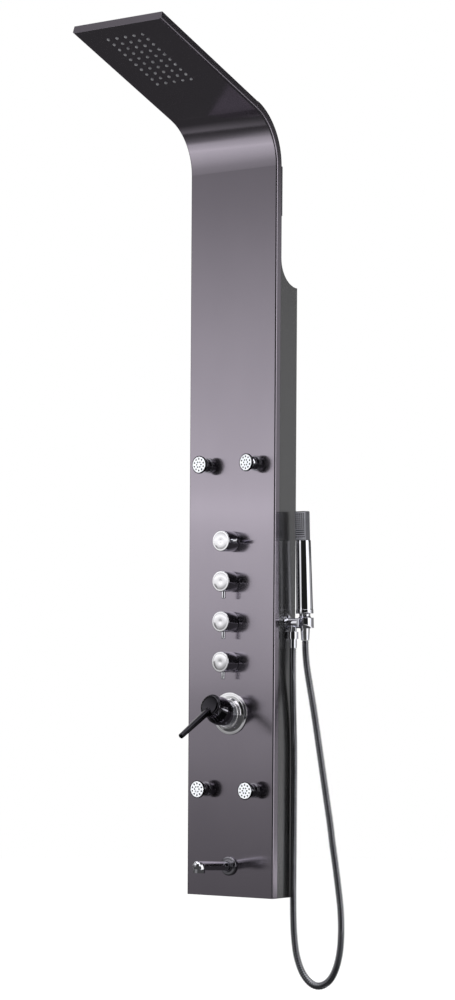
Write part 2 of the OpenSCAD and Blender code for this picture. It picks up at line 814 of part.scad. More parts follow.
module mixer_escutcheon() {
    dome_h = 11;
    dome_r = 70;
    color(chrome) outward(0, mixer_h) difference() {
        union() {
            cylinder(r = escutcheon_r, h = 2.2);
            intersection() {
                translate([0, 0, dome_h - dome_r]) sphere(dome_r, $fn = 128);
                cylinder(r = escutcheon_r - 1.5, h = dome_h);
            }
            cylinder(r = bonnet_skirt_r + 4.5, h = dome_h + 1);
            cylinder(r = bonnet_skirt_r + 2.5, h = dome_h + 2.5);
        }
        translate([0, 0, -over]) cylinder(r = bonnet_skirt_r + seat_gap, h = dome_h + 6);
    }
}

// A sleeve screwed on the body, ending in a ball that the lever hub rides over.
module mixer_bonnet() {
    color(chrome) outward(0, mixer_h) difference() {
        union() {
            cylinder(r = bonnet_skirt_r, h = tilt_out - 6);
            translate([0, 0, tilt_out]) sphere(bonnet_ball_r);
        }
        translate([0, 0, -bonnet_ball_r - over])
            cylinder(r = cut_l / 2, h = bonnet_ball_r + over);
        translate([0, 0, -over]) cylinder(r = cartridge_r + seat_gap, h = 6 + 2 * over);
        cylinder(r = bonnet_mouth_r, h = cut_l);
    }
}

module mixer_core() {
    color("dimgray") outward(0, mixer_h) difference() {
        translate([0, 0, -15]) cylinder(r = core_r, h = 15 + core_out);
        translate([-slot_w / 2, -cut_l / 2, tilt_out - core_slot_low])
            cube([slot_w, cut_l, cut_l]);
        translate([-cut_l / 2, 0, tilt_out]) rotate([0, 90, 0])
            cylinder(r = tilt_pin_r, h = cut_l);
    }
}

module mixer_tilt_pin() {
    pin_l = 2 * core_r - 3;
    color("gray") outward(0, mixer_h) translate([-pin_l / 2, 0, tilt_out])
        rotate([0, 90, 0]) cylinder(r = tilt_pin_r, h = pin_l);
}

module mixer_stem() {
    color("gray") on_lever() difference() {
        translate([-stem_w / 2, -stem_t / 2, -stem_t / 2])
            cube([stem_w, stem_t, stem_t / 2 + stem_l]);
        translate([-cut_l / 2, 0, 0]) rotate([0, 90, 0])
            cylinder(r = tilt_pin_r + run_gap, h = cut_l);
    }
}

// Children built along the handle rod, from its root inside the hub.
module on_rod() {
    on_lever() translate([0, -rod_low, hub_l]) rotate([rod_angle, 0, 0])
        translate([0, 0, -rod_root]) children();
}

module mixer_hub() {
    edge = 2.5;
    dome = [for (a = [10:10:80]) [(hub_r - edge) * cos(a), hub_l + hub_dome * sin(a)]];
    crown = hub_l + hub_dome * sin(80);
    color([0.15, 0.15, 0.16]) difference() {
        on_lever() difference() {
            rotate_extrude() {
                polygon(concat([[0, hub_back], [hub_skirt_r, hub_back],
                                [hub_skirt_r, hub_l * 0.45], [hub_r, hub_l * 0.75],
                                [hub_r, hub_l - edge], [hub_r - edge, hub_l]], dome,
                               [[0, crown]]));
                translate([hub_r - edge, hub_l - edge]) circle(edge, $fn = 32);
            }
            sphere(bonnet_ball_r + free_gap);
            translate([-stem_w / 2, -stem_t / 2, 0]) cube([stem_w, stem_t, stem_l]);
        }
        on_rod() cylinder(r = rod_r, h = rod_straight + rod_root);
    }
}

module mixer_rod() {
    tip = 1.2;
    whole = rod_l + rod_root;
    color([0.15, 0.15, 0.16]) on_rod() rotate_extrude()
        polygon([[0, 0], [rod_r, 0], [rod_r, rod_straight + rod_root], [rod_tip_r, whole - tip],
                 [rod_tip_r - tip, whole], [0, whole]]);
}

// ---------- tub spout ----------

module spout_pipe() {
    color("peru") {
        rod_x(manifold_w / 2, spout_pipe_x, spout_pipe_y, valve_low_h, spout_pipe_r);
        rod_z(spout_pipe_x, spout_pipe_y, spout_h, valve_low_h, spout_pipe_r);
        rod_x(0, spout_pipe_x, spout_pipe_y, spout_h, spout_pipe_r);
        rod_y(0, spout_shank_y, spout_pipe_y + spout_pipe_r + 1, spout_h, spout_r);
        for (h = [spout_h, valve_low_h])
            translate([spout_pipe_x, face_y + spout_pipe_y, up(h)]) sphere(spout_pipe_r);
    }
}

module spout_flange() {
    color(chrome) outward(0, spout_h) difference() {
        rotate_extrude() {
            square([spout_flange_r, 2]);
            translate([0, 2]) square([spout_flange_r - 3, 3]);
            translate([spout_flange_r - 3, 2]) circle(3, $fn = 32);
            square([spout_r + 2.2, spout_sleeve_l]);
        }
        translate([0, 0, -over - 5]) cylinder(r = cut_l / 2, h = 5 + over);
        translate([0, 0, -over])
            cylinder(r = spout_r + seat_gap + spout_sleeve_l * tan(spout_rise),
                     h = spout_sleeve_l + 2 * over);
    }
}

// Children built along +Z in the sloping part of the spout.
module on_spout() {
    outward(0, spout_h) translate([0, 0, spout_straight]) rotate([-spout_rise, 0, 0]) children();
}

slope_l = spout_l - spout_straight;

module spout_tube() {
    bore = spout_r - 2.4;
    color(chrome) difference() {
        union() {
            outward(0, spout_h) translate([0, 0, -spout_shank_y])
                cylinder(r = spout_shank_r, h = spout_shank_y + spout_straight + 3);
            on_spout() rotate_extrude() round_ended(spout_r, slope_l);
            on_spout() translate([0, spout_lip_rise, slope_l - spout_lip_back])
                rotate([90, 0, 0]) rotate_extrude() translate([0, spout_lip_drop + spout_lip_rise])
                    mirror([0, 1]) round_ended(spout_lip_r, spout_lip_drop + spout_lip_rise);
        }
        outward(0, spout_h) translate([0, 0, -spout_shank_y - over])
            cylinder(r = bore - 0.8, h = spout_shank_y + 3 * over + spout_straight);
        on_spout() cylinder(r = bore, h = slope_l - spout_lip_back - 2);
        on_spout() translate([0, -2, slope_l - spout_lip_back]) rotate([90, 0, 0])
            cylinder(r = aerator_r, h = spout_lip_drop + over);
    }
}

module spout_aerator() {
    plate = 4;
    color("gray") on_spout() translate([0, 0, slope_l - spout_lip_back]) rotate([90, 0, 0])
        translate([0, 0, spout_lip_drop - plate - 1]) difference() {
            cylinder(r = aerator_r, h = plate);
            for (a = [0:60:300]) rotate(a) translate([aerator_r / 2, 0, -over])
                cylinder(r = 1.2, h = plate + 2 * over, $fn = 16);
        }
}

// ---------- hand shower ----------

module hand_pipe() {
    color("peru")
        rod_x(manifold_w / 2, elbow_shank_x, outlet_y, outlet_h, hand_pipe_r);
}

module outlet_elbow() {
    rosette_r = 13.5;
    rosette_t = 2;
    bore = 4.5;
    color(chrome) difference() {
        union() {
            rod_x(elbow_shank_x, housing_x, outlet_y, outlet_h, elbow_shank_r);
            rod_x(housing_x, housing_x + rosette_t, outlet_y, outlet_h, rosette_r);
            rod_x(housing_x, outlet_x + bar_over, outlet_y, outlet_h, bar_r);
            rod_z(outlet_x, outlet_y, outlet_h - outlet_nut_top - outlet_stub_in, outlet_h,
                  outlet_stub_r);
        }
        rod_x(elbow_shank_x - over, outlet_x, outlet_y, outlet_h, bore);
        rod_z(outlet_x, outlet_y, outlet_h - outlet_nut_top - outlet_stub_in - over, outlet_h,
              bore);
    }
}

module holder_ring() {
    arm_dx = outlet_x - hand_x;
    arm_dy = outlet_y - holder_y;
    arm_len = sqrt(arm_dx * arm_dx + arm_dy * arm_dy);
    color(chrome) difference() {
        union() {
            on_holder() translate([0, 0, -ring_h / 2]) cylinder(r = ring_r, h = ring_h);
            translate([hand_x, face_y + holder_y, up(outlet_h)])
                rotate([0, 0, atan2(arm_dy, arm_dx)]) rotate([0, 90, 0])
                    cylinder(r = bar_r - 1, h = arm_len);
        }
        rod_x(housing_x, outlet_x + bar_over + over, outlet_y, outlet_h, bar_r + seat_gap);
        rod_z(outlet_x, outlet_y, outlet_h - outlet_nut_top, outlet_h, outlet_stub_r + seat_gap);
        on_holder() translate([0, 0, -ring_h / 2 - over])
            cylinder(r1 = seat_foot_r - 0.08, r2 = seat_top_r + 0.08, h = ring_h + 2 * over);
        on_holder() box(-ring_slot_w / 2, ring_slot_w / 2, -2 * ring_r, 0,
                        -ring_h / 2 - over, ring_h / 2 + over);
    }
}

module hand_grip() {
    foot = collar_low + collar_h;
    color(chrome) on_holder() rotate_extrude() polygon([
        [0, -hand_nut_top - hand_stub_in], [hand_stub_r, -hand_nut_top - hand_stub_in],
        [hand_stub_r, -hand_nut_top], [seat_foot_r - free_gap, -hand_nut_top],
        [seat_top_r - free_gap, ring_h / 2], [hand_neck_r, ring_h / 2 + 3],
        [hand_neck_r, collar_low], [grip_foot_r, collar_low], [grip_foot_r, foot],
        [grip_foot_r - 0.6, foot], [grip_foot_r - 0.6, foot + 1],
        [grip_top_r, collar_low + grip_l], [0, collar_low + grip_l]]);
}

// The spray head: round behind, flat where the water leaves.
module hand_head() {
    foot = collar_low + grip_l;
    color([0.3, 0.3, 0.32]) on_holder() translate([0, 0, foot]) {
        difference() {
            union() {
                cylinder(r = head_r, h = head_l);
                box(-head_r + 0.4, head_r - 0.4, -head_face, 0, 0, head_l);
            }
            box(-2 * head_r, 2 * head_r, -2 * head_r, -head_face, -over, head_l + over);
            translate([0, -head_face, head_l]) rotate([45, 0, 0])
                box(-2 * head_r, 2 * head_r, -2.5, 2.5, -2.5, 2.5);
        }
    }
}

module hose_nut_outlet() {
    top = outlet_h - outlet_nut_top;
    color(chrome) difference() {
        union() {
            rod_z(outlet_x, outlet_y, top - outlet_nut_l, top, outlet_nut_r);
            rod_z(outlet_x, outlet_y, top - outlet_nut_l - outlet_sleeve_l, top, hose_r + 0.4);
        }
        rod_z(outlet_x, outlet_y, top - outlet_stub_in, top + over, outlet_stub_r + seat_gap);
    }
}

module hose_nut_hand() {
    color(chrome) on_holder() difference() {
        translate([0, 0, -hand_nut_top - hand_nut_l])
            cylinder(r1 = hand_nut_foot_r, r2 = hand_nut_r, h = hand_nut_l);
        translate([0, 0, -hand_nut_top - hand_stub_in])
            cylinder(r = hand_stub_r + seat_gap, h = hand_stub_in + over);
    }
}

// ---------- hose ----------

function unit(v) = v / norm(v);

// Direction of the route at point i, from its neighbours.
function heading(pts, i) =
    unit(pts[min(i + 1, len(pts) - 1)] - pts[max(i - 1, 0)]);

// A side direction square to the heading, kept from turning by a fixed reference.
function side_of(t) = unit(cross([0, 1, 0], t));

function ring_at(pts, i, r, n) =
    let (t = heading(pts, i), a = side_of(t), b = cross(t, a))
    [for (k = [0:n - 1]) pts[i] + r * cos(360 * k / n) * a + r * sin(360 * k / n) * b];

module swept_tube(pts, r, n) {
    m = len(pts);
    points = [for (i = [0:m - 1]) each ring_at(pts, i, r, n)];
    sides = [for (i = [0:m - 2], k = [0:n - 1])
        let (a = i * n + k, b = i * n + (k + 1) % n) [a, a + n, b + n, b]];
    polyhedron(points, concat([[for (k = [0:n - 1]) k]],
                              sides, [[for (k = [n - 1:-1:0]) (m - 1) * n + k]]));
}

module hose_tube() {
    color("gainsboro") swept_tube(hose_route, hose_r, hose_sides);
}

// ---------- drawing ----------

front_panel();
rear_housing();
bottom_cap();
neck_cover();
bend_cover();
arm_lid();
hanging_rails();
wall_bracket(upper_hook_h);  // wall_bracket_upper
wall_bracket(lower_hook_h);  // wall_bracket_lower
rain_chamber();
rain_nozzles();
rain_feed_tube();
rain_feed_elbow();
jet_sockets();
lock_nuts();
jet_pipework();
jet_ball(0);  // jet_ball_ul
jet_ball(1);  // jet_ball_ur
jet_ball(2);  // jet_ball_ll
jet_ball(3);  // jet_ball_lr
jet_head(0);  // jet_head_ul
jet_head(1);  // jet_head_ur
jet_head(2);  // jet_head_ll
jet_head(3);  // jet_head_lr
valve_manifold();
valve_bonnets();
valve_collars();
valve_stem(0);  // valve_stem_1
valve_stem(1);  // valve_stem_2
valve_stem(2);  // valve_stem_3
valve_stem(3);  // valve_stem_4
knob(0);  // knob_1
knob(1);  // knob_2
knob(2);  // knob_3
knob(3);  // knob_4
knob_pin(0);  // knob_pin_1
knob_pin(1);  // knob_pin_2
knob_pin(2);  // knob_pin_3
knob_pin(3);  // knob_pin_4
mixer_body();
mixer_cartridge();
mixer_escutcheon();
mixer_bonnet();
mixer_core();
mixer_tilt_pin();
mixer_stem();
mixer_hub();
mixer_rod();
spout_pipe();
spout_flange();
spout_tube();
spout_aerator();
hand_pipe();
outlet_elbow();
holder_ring();
hand_grip();
hand_head();
hose_nut_outlet();
hose_nut_hand();
hose_tube();
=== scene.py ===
"""Looks of a wall-hung rainfall shower column.

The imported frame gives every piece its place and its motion. This script dresses the
pieces in node materials, models the hose, the spray faces, the knobs and the other
pieces that need a finer shape, and sets up the camera and the studio round them.
All lengths are metres in the frame's axes unless a name says otherwise.
"""

import json
import logging
import math
from dataclasses import dataclass
from enum import Enum
from typing import Iterable, Sequence

import bmesh
import bpy
from mathutils import Matrix, Vector

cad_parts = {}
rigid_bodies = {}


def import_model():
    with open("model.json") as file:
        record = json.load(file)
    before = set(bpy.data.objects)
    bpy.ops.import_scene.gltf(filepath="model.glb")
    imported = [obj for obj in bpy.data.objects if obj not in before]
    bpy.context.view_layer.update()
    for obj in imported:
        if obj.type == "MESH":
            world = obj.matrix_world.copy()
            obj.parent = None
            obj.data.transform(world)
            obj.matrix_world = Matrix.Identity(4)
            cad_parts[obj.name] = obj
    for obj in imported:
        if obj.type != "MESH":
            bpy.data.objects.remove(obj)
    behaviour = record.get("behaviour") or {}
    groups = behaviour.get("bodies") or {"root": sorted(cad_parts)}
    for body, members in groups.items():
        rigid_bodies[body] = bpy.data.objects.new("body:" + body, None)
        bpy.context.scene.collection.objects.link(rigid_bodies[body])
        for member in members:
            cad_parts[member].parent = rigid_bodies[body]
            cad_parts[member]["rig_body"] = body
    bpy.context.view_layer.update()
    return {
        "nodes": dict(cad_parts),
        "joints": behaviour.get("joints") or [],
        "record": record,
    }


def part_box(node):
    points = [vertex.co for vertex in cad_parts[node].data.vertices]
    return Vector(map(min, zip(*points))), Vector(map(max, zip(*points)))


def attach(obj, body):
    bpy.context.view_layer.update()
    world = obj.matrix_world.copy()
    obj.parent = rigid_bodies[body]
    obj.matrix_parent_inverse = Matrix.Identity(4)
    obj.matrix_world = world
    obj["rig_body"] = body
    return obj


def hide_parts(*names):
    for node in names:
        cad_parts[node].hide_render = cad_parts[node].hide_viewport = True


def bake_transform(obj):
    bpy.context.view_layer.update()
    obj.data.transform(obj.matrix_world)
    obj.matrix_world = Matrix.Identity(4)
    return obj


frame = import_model()

LOG = logging.getLogger("shower_column")
MM = 0.001
NOISE_LOW, NOISE_HIGH = 0.3, 0.7       # where most of a noise lies
DISC_SIDES = 96
WELD = 2e-6                            # vertices this close, in metres, are one
FLAT_DEGREES = 1.0                     # faces that meet at less are one face
TURNED_CREASE, EASED_CREASE, PIP_CREASE, HEAD_CREASE = 34, 40, 50, 30   # in degrees
Colour = tuple[float, float, float]
Waves = tuple[float, float, float]     # a noise's waves per metre along X, Y and Z
Profile = Sequence[tuple[float, float]]
Ring = list[bmesh.types.BMVert]
Stops = Sequence[tuple[float, float]]  # pairs of a place and the level there


class Slot(Enum):
    """The finishes that the record names."""

    PANEL_STEEL = "panel_steel"
    HOUSING_STEEL = "housing_steel"
    COVER_STEEL = "cover_steel"
    ZINC_PLATE = "zinc_plate"
    CHROME_TRIM = "chrome_trim"
    BLACK_MIRROR = "black_mirror"
    RAW_BRASS = "raw_brass"
    COPPER_PIPE = "copper_pipe"
    PALE_SILICONE = "pale_silicone"
    BLACK_MOULDING = "black_moulding"
    WHITE_SPRAY_FACE = "white_spray_face"
    GREY_SPRAY_HEAD = "grey_spray_head"
    CERAMIC = "ceramic"
    HOSE_STEEL = "hose_steel"


class Jet(Enum):
    """The four body jets, by place."""

    UPPER_LEFT = "ul"
    UPPER_RIGHT = "ur"
    LOWER_LEFT = "ll"
    LOWER_RIGHT = "lr"


# ---------- node materials ----------


class ShaderGraph:
    """A small builder for one material's or the world's node tree."""

    def __init__(self, tree: bpy.types.NodeTree) -> None:
        """Takes over a node tree and empties it.

        Args:
            tree: The node tree to fill.
        """
        self.tree = tree
        tree.nodes.clear()

    def add(self, kind: str, **settings: object) -> bpy.types.Node:
        """Adds a node.

        Args:
            kind: The node's type name.
            settings: Attributes to set on the node.

        Returns:
            The new node.
        """
        node = self.tree.nodes.new(kind)
        for name, value in settings.items():
            setattr(node, name, value)
        return node

    def join(self, source: bpy.types.NodeSocket, target: bpy.types.NodeSocket) -> None:
        """Links one socket to another."""
        self.tree.links.new(source, target)

    def feed(self, node: bpy.types.Node, inputs: dict[str, object]) -> None:
        """Sets a node's inputs: sockets are joined, and constants are written on the node itself.

        Args:
            node: The node.
            inputs: Sockets or constants, by the name of the input.
        """
        for name, value in inputs.items():
            if isinstance(value, bpy.types.NodeSocket):
                self.join(value, node.inputs[name])
            else:
                node.inputs[name].default_value = value

    def maths(self, operation: str, *values: object, clamp: bool = False) -> bpy.types.NodeSocket:
        """Adds a Math node.

        Args:
            operation: The node's operation.
            values: Sockets or numbers, in the order of the node's inputs.
            clamp: Whether the result is kept within 0 and 1.

        Returns:
            The node's output.
        """
        node = self.add("ShaderNodeMath", operation=operation, use_clamp=clamp)
        for socket, value in zip(node.inputs, values):
            if isinstance(value, bpy.types.NodeSocket):
                self.join(value, socket)
            else:
                socket.default_value = value
        return node.outputs[0]

    def ramp(self, factor: bpy.types.NodeSocket, stops: Sequence[tuple]) -> bpy.types.NodeSocket:
        """Adds a colour ramp.

        Args:
            factor: What drives it.
            stops: Pairs of a position and a grey level or colour.

        Returns:
            The ramp's colour.
        """
        node = self.add("ShaderNodeValToRGB")
        ramp = node.color_ramp
        while len(ramp.elements) < len(stops):
            ramp.elements.new(1.0)
        for element, (place, level) in zip(ramp.elements, stops):
            element.position = place
            colour = (level, level, level) if isinstance(level, (int, float)) else level
            element.color = (*colour, 1.0)
        self.join(factor, node.inputs[0])
        return node.outputs[0]

    def levels(self, value: bpy.types.NodeSocket, stops: Sequence[tuple],
               low: float, high: float) -> bpy.types.NodeSocket:
        """Draws a level by a value.

        Args:
            value: What drives it.
            stops: Pairs of the value and its level.
            low: The value at the ramp's start.
            high: The value at its end.

        Returns:
            The level.
        """
        factor = self.maths("MULTIPLY_ADD", value, 1 / (high - low), -low / (high - low))
        return self.ramp(factor, [((a - low) / (high - low), level) for a, level in stops])

    def grain(self, stretch: Sequence[float], detail: float,
              roughness: float = 0.55) -> bpy.types.NodeSocket:
        """Adds noise in the piece's own space.

        Args:
            stretch: Waves per metre along X, Y and Z.
            detail: The noise's detail.
            roughness: The noise's roughness.

        Returns:
            The noise's value.
        """
        place = self.add("ShaderNodeTexCoord").outputs["Object"]
        scale = self.add("ShaderNodeVectorMath", operation="MULTIPLY")
        scale.inputs[1].default_value = stretch
        self.join(place, scale.inputs[0])
        cloud = self.add("ShaderNodeTexNoise")
        cloud.inputs["Scale"].default_value = 1.0
        cloud.inputs["Detail"].default_value = detail
        cloud.inputs["Roughness"].default_value = roughness
        self.join(scale.outputs[0], cloud.inputs["Vector"])
        return cloud.outputs[0]

    def spread(self, value: bpy.types.NodeSocket, low: float, high: float) -> bpy.types.NodeSocket:
        """Maps the middle of a noise onto a range.

        Args:
            value: The noise.
            low: What the noise's low end becomes.
            high: What its high end becomes.

        Returns:
            The mapped value.
        """
        node = self.add("ShaderNodeMapRange")
        ends = {"From Min": NOISE_LOW, "From Max": NOISE_HIGH, "To Min": low, "To Max": high}
        for name, number in ends.items():
            node.inputs[name].default_value = number
        self.join(value, node.inputs["Value"])
        return node.outputs[0]

    def tints(self, value: bpy.types.NodeSocket, dark: Colour, light: Colour) -> bpy.types.NodeSocket:
        """Blends two colours by a noise.

        Args:
            value: The noise.
            dark: The colour at the noise's low end.
            light: The colour at its high end.

        Returns:
            The blended colour.
        """
        return self.ramp(value, [(NOISE_LOW, dark), (NOISE_HIGH, light)])

    def relief(self, heights: Iterable[tuple[bpy.types.NodeSocket, float]],
               normal: bpy.types.NodeSocket | None = None) -> bpy.types.NodeSocket:
        """Chains bump nodes.

        Args:
            heights: Pairs of a height and its depth in metres.
            normal: The normal to start from, if not the surface's own.

        Returns:
            The bumped normal.
        """
        for height, depth in heights:
            bump = self.add("ShaderNodeBump")
            bump.inputs["Strength"].default_value = 1.0
            bump.inputs["Distance"].default_value = depth
            self.join(height, bump.inputs["Height"])
            if normal is not None:
                self.join(normal, bump.inputs["Normal"])
            normal = bump.outputs[0]
        return normal

    def level_tangent(self) -> bpy.types.NodeSocket:
        """Builds the level direction along the surface, square to the brushing.

        Returns:
            The direction's output socket.
        """
        cross = self.add("ShaderNodeVectorMath", operation="CROSS_PRODUCT")
        cross.inputs[0].default_value = (0.0, 0.0, 1.0)
        self.join(self.add("ShaderNodeNewGeometry").outputs["Normal"], cross.inputs[1])
        return cross.outputs[0]


def new_material(name: str) -> tuple[bpy.types.Material, ShaderGraph, bpy.types.Node]:
    """Makes a material with one Principled shader.

    Args:
        name: The material's name.

    Returns:
        The material, its graph and its shader node.
    """
    material = bpy.data.materials.new(name)
    material.use_nodes = True
    graph = ShaderGraph(material.node_tree)
    shader = graph.add("ShaderNodeBsdfPrincipled")
    graph.join(shader.outputs[0], graph.add("ShaderNodeOutputMaterial").inputs["Surface"])
    return material, graph, shader


@dataclass(frozen=True)
class BrushedSteel:
    """Steel with a fine grain that runs up the column and softly rounded folds."""

    name: str
    dark: Colour
    light: Colour
    roughness: float
    spread: float = 0.008
    line_spread: float = 0.012
    anisotropy: float = 0.8
    grain_depth: float = 1.2e-6
    fold_r: float = 0.9
    cloud_waves: Waves = (9, 9, 5)
    line_waves: Waves = (2600, 30, 9)
    smear_waves: Waves = (34, 34, 11)

    def make(self) -> bpy.types.Material:
        """Makes the material.

        Returns:
            The material, ready to wear.
        """
        material, graph, shader = new_material(self.name)
        clouds = graph.grain(self.cloud_waves, 4)
        lines = graph.grain(self.line_waves, 3, 0.7)
        smears = graph.grain(self.smear_waves, 5)
        smeared = graph.spread(smears, self.roughness - self.spread, self.roughness + self.spread)
        brushed = graph.spread(lines, -self.line_spread, self.line_spread)
        fold = graph.add("ShaderNodeBevel", samples=6)
        fold.inputs["Radius"].default_value = self.fold_r * MM
        graph.feed(shader, {
            "Metallic": 1.0,
            "Anisotropic": self.anisotropy,
            "Base Color": graph.tints(clouds, self.dark, self.light),
            "Roughness": graph.maths("ADD", smeared, brushed),
            "Normal": graph.relief([(lines, self.grain_depth)], fold.outputs["Normal"]),
            "Tangent": graph.level_tangent()})
        return material


@dataclass(frozen=True)
class PolishedMetal:
    """Chrome and other polished metal, with faint wiping marks."""

    name: str
    dark: Colour
    light: Colour
    roughness: float
    spread: float = 0.015
    ripple_depth: float = 6e-6
    cloud_waves: Waves = (30, 30, 30)
    wipe_waves: Waves = (120, 70, 45)
    ripple_waves: Waves = (55, 55, 55)

    def make(self) -> bpy.types.Material:
        """Makes the material.

        Returns:
            The material, ready to wear.
        """
        material, graph, shader = new_material(self.name)
        wipes = graph.grain(self.wipe_waves, 6, 0.65)
        graph.feed(shader, {
            "Metallic": 1.0,
            "Base Color": graph.tints(graph.grain(self.cloud_waves, 3), self.dark, self.light),
            "Roughness": graph.spread(wipes, self.roughness - self.spread, self.roughness + self.spread),
            "Normal": graph.relief([(graph.grain(self.ripple_waves, 2), self.ripple_depth)])})
        return material


@dataclass(frozen=True)
class MachinedMetal:
    """Raw brass, drawn copper and zinc plate, with turning marks and dull patches."""

    name: str
    dark: Colour
    light: Colour
    roughness: float
    mark_waves: Waves = (160.0, 160.0, 900.0)
    mark_depth: float = 1.2e-5
    patch_waves: Waves = (45, 45, 45)
    patch_depth: float = 2e-5
    duller: float = 0.12
    brighter: float = 0.05

    def make(self) -> bpy.types.Material:
        """Makes the material.

        Returns:
            The material, ready to wear.
        """
        material, graph, shader = new_material(self.name)
        patches = graph.grain(self.patch_waves, 8, 0.6)
        marks = graph.grain(self.mark_waves, 3)
        graph.feed(shader, {
            "Metallic": 1.0,
            "Base Color": graph.tints(patches, self.dark, self.light),
            "Roughness": graph.spread(patches, self.roughness + self.duller, self.roughness - self.brighter),
            "Normal": graph.relief([(marks, self.mark_depth), (patches, self.patch_depth)])})
        return material


@dataclass(frozen=True)
class Moulding:
    """Moulded plastic, silicone or ceramic, with a fine mould texture."""

    name: str
    dark: Colour
    light: Colour
    roughness: float
    texture_depth: float = 2e-5
    texture_waves: float = 1400.0
    patch_waves: Waves = (60, 60, 60)
    smoother: float = 0.05
    rougher: float = 0.06

    def make(self) -> bpy.types.Material:
        """Makes the material.

        Returns:
            The material, ready to wear.
        """
        material, graph, shader = new_material(self.name)
        fine = graph.grain((self.texture_waves,) * 3, 3)
        patches = graph.grain(self.patch_waves, 6)
        graph.feed(shader, {
            "Base Color": graph.tints(patches, self.dark, self.light),
            "Roughness": graph.spread(patches, self.roughness - self.smoother, self.roughness + self.rougher),
            "Normal": graph.relief([(fine, self.texture_depth)])})
        return material


@dataclass(frozen=True)
class SatinPaint:
    """A satin dark coat on sheet steel, with a faint orange peel."""

    name: str
    dark: Colour
    light: Colour
    roughness: float
    metal: float = 0.5
    peel_waves: Waves = (700, 700, 700)
    peel_depth: float = 8e-6
    patch_waves: Waves = (14, 14, 6)
    smoother: float = 0.03
    rougher: float = 0.04

    def make(self) -> bpy.types.Material:
        """Makes the material.

        Returns:
            The material, ready to wear.
        """
        material, graph, shader = new_material(self.name)
        peel = graph.grain(self.peel_waves, 2)
        patches = graph.grain(self.patch_waves, 5)
        graph.feed(shader, {
            "Metallic": self.metal,
            "Base Color": graph.tints(patches, self.dark, self.light),
            "Roughness": graph.spread(patches, self.roughness - self.smoother, self.roughness + self.rougher),
            "Normal": graph.relief([(peel, self.peel_depth)])})
        return material


FINISHES = {
    Slot.PANEL_STEEL: BrushedSteel("panel_steel", (0.378, 0.343, 0.398), (0.398, 0.361, 0.418), 0.16),
    Slot.HOUSING_STEEL: SatinPaint(
        "housing_steel", (0.25, 0.25, 0.255), (0.27, 0.27, 0.275), 0.2, metal=0.95),
    Slot.COVER_STEEL: BrushedSteel("cover_steel", (0.23, 0.22, 0.24), (0.25, 0.24, 0.26), 0.2),
    Slot.ZINC_PLATE: MachinedMetal(
        "zinc_plate", (0.5, 0.51, 0.53), (0.66, 0.67, 0.68), 0.42, mark_waves=(260.0, 260.0, 260.0)),
    Slot.CHROME_TRIM: PolishedMetal("chrome_trim", (0.86, 0.86, 0.92), (0.91, 0.91, 0.97), 0.05),
    Slot.BLACK_MIRROR: PolishedMetal("black_mirror", (0.03, 0.029, 0.034), (0.045, 0.043, 0.05), 0.1),
    Slot.RAW_BRASS: MachinedMetal("raw_brass", (0.56, 0.4, 0.17), (0.74, 0.56, 0.27), 0.32),
    Slot.COPPER_PIPE: MachinedMetal("copper_pipe", (0.56, 0.27, 0.16), (0.76, 0.42, 0.27), 0.3),
    Slot.PALE_SILICONE: Moulding("pale_silicone", (0.14, 0.14, 0.15), (0.2, 0.2, 0.21), 0.5),
    Slot.BLACK_MOULDING: Moulding(
        "black_moulding", (0.02, 0.02, 0.022), (0.035, 0.035, 0.038), 0.45,
        texture_depth=4e-5, texture_waves=900.0),
    Slot.WHITE_SPRAY_FACE: Moulding(
        "white_spray_face", (0.88, 0.9, 0.95), (0.92, 0.94, 0.98), 0.25, texture_depth=6e-6),
    Slot.GREY_SPRAY_HEAD: Moulding(
        "grey_spray_head", (0.21, 0.21, 0.235), (0.25, 0.25, 0.275), 0.35, texture_depth=8e-6),
    Slot.CERAMIC: Moulding("ceramic", (0.72, 0.69, 0.6), (0.8, 0.77, 0.68), 0.4),
    Slot.HOSE_STEEL: PolishedMetal(
        "hose_steel", (0.36, 0.36, 0.39), (0.46, 0.46, 0.49), 0.06, spread=0.03),
}


class Tone(Enum):
    """Painted light and shade for parts of a piece, or for a piece that its slot's own finish doesn't suit:
    lit and shaded copies of finishes, and near-black paint for shade in recesses.
    """

    DARK_CHROME = "dark_chrome"
    GROOVE = "groove"
    BRIGHT_FACE = "bright_face"
    HEAD_SHELL = "head_shell"


TONES = {
    # A darkened copy of the chrome: painted shade on the fittings that wear it.
    Tone.DARK_CHROME: PolishedMetal("dark_chrome", (0.34, 0.33, 0.37), (0.4, 0.39, 0.43), 0.07),
    # A brightened copy of the chrome: a painted highlight on the knob faces and the mixer's rose.
    Tone.BRIGHT_FACE: PolishedMetal(
        "bright_face", (0.94, 0.93, 0.97), (0.98, 0.97, 1.0), 0.1, spread=0.03),
    # A darker copy of the spray head's grey: painted shade on the head's sides and back.
    Tone.HEAD_SHELL: Moulding(
        "head_shell", (0.075, 0.075, 0.085), (0.105, 0.105, 0.118), 0.3, texture_depth=8e-6),
    # Near-black paint for the shade in recesses: the hose's grooves, the spray head's slots and holes, and
    # the jet outlets.
    Tone.GROOVE: Moulding("groove", (0.006, 0.006, 0.007), (0.014, 0.014, 0.016), 0.6),
}


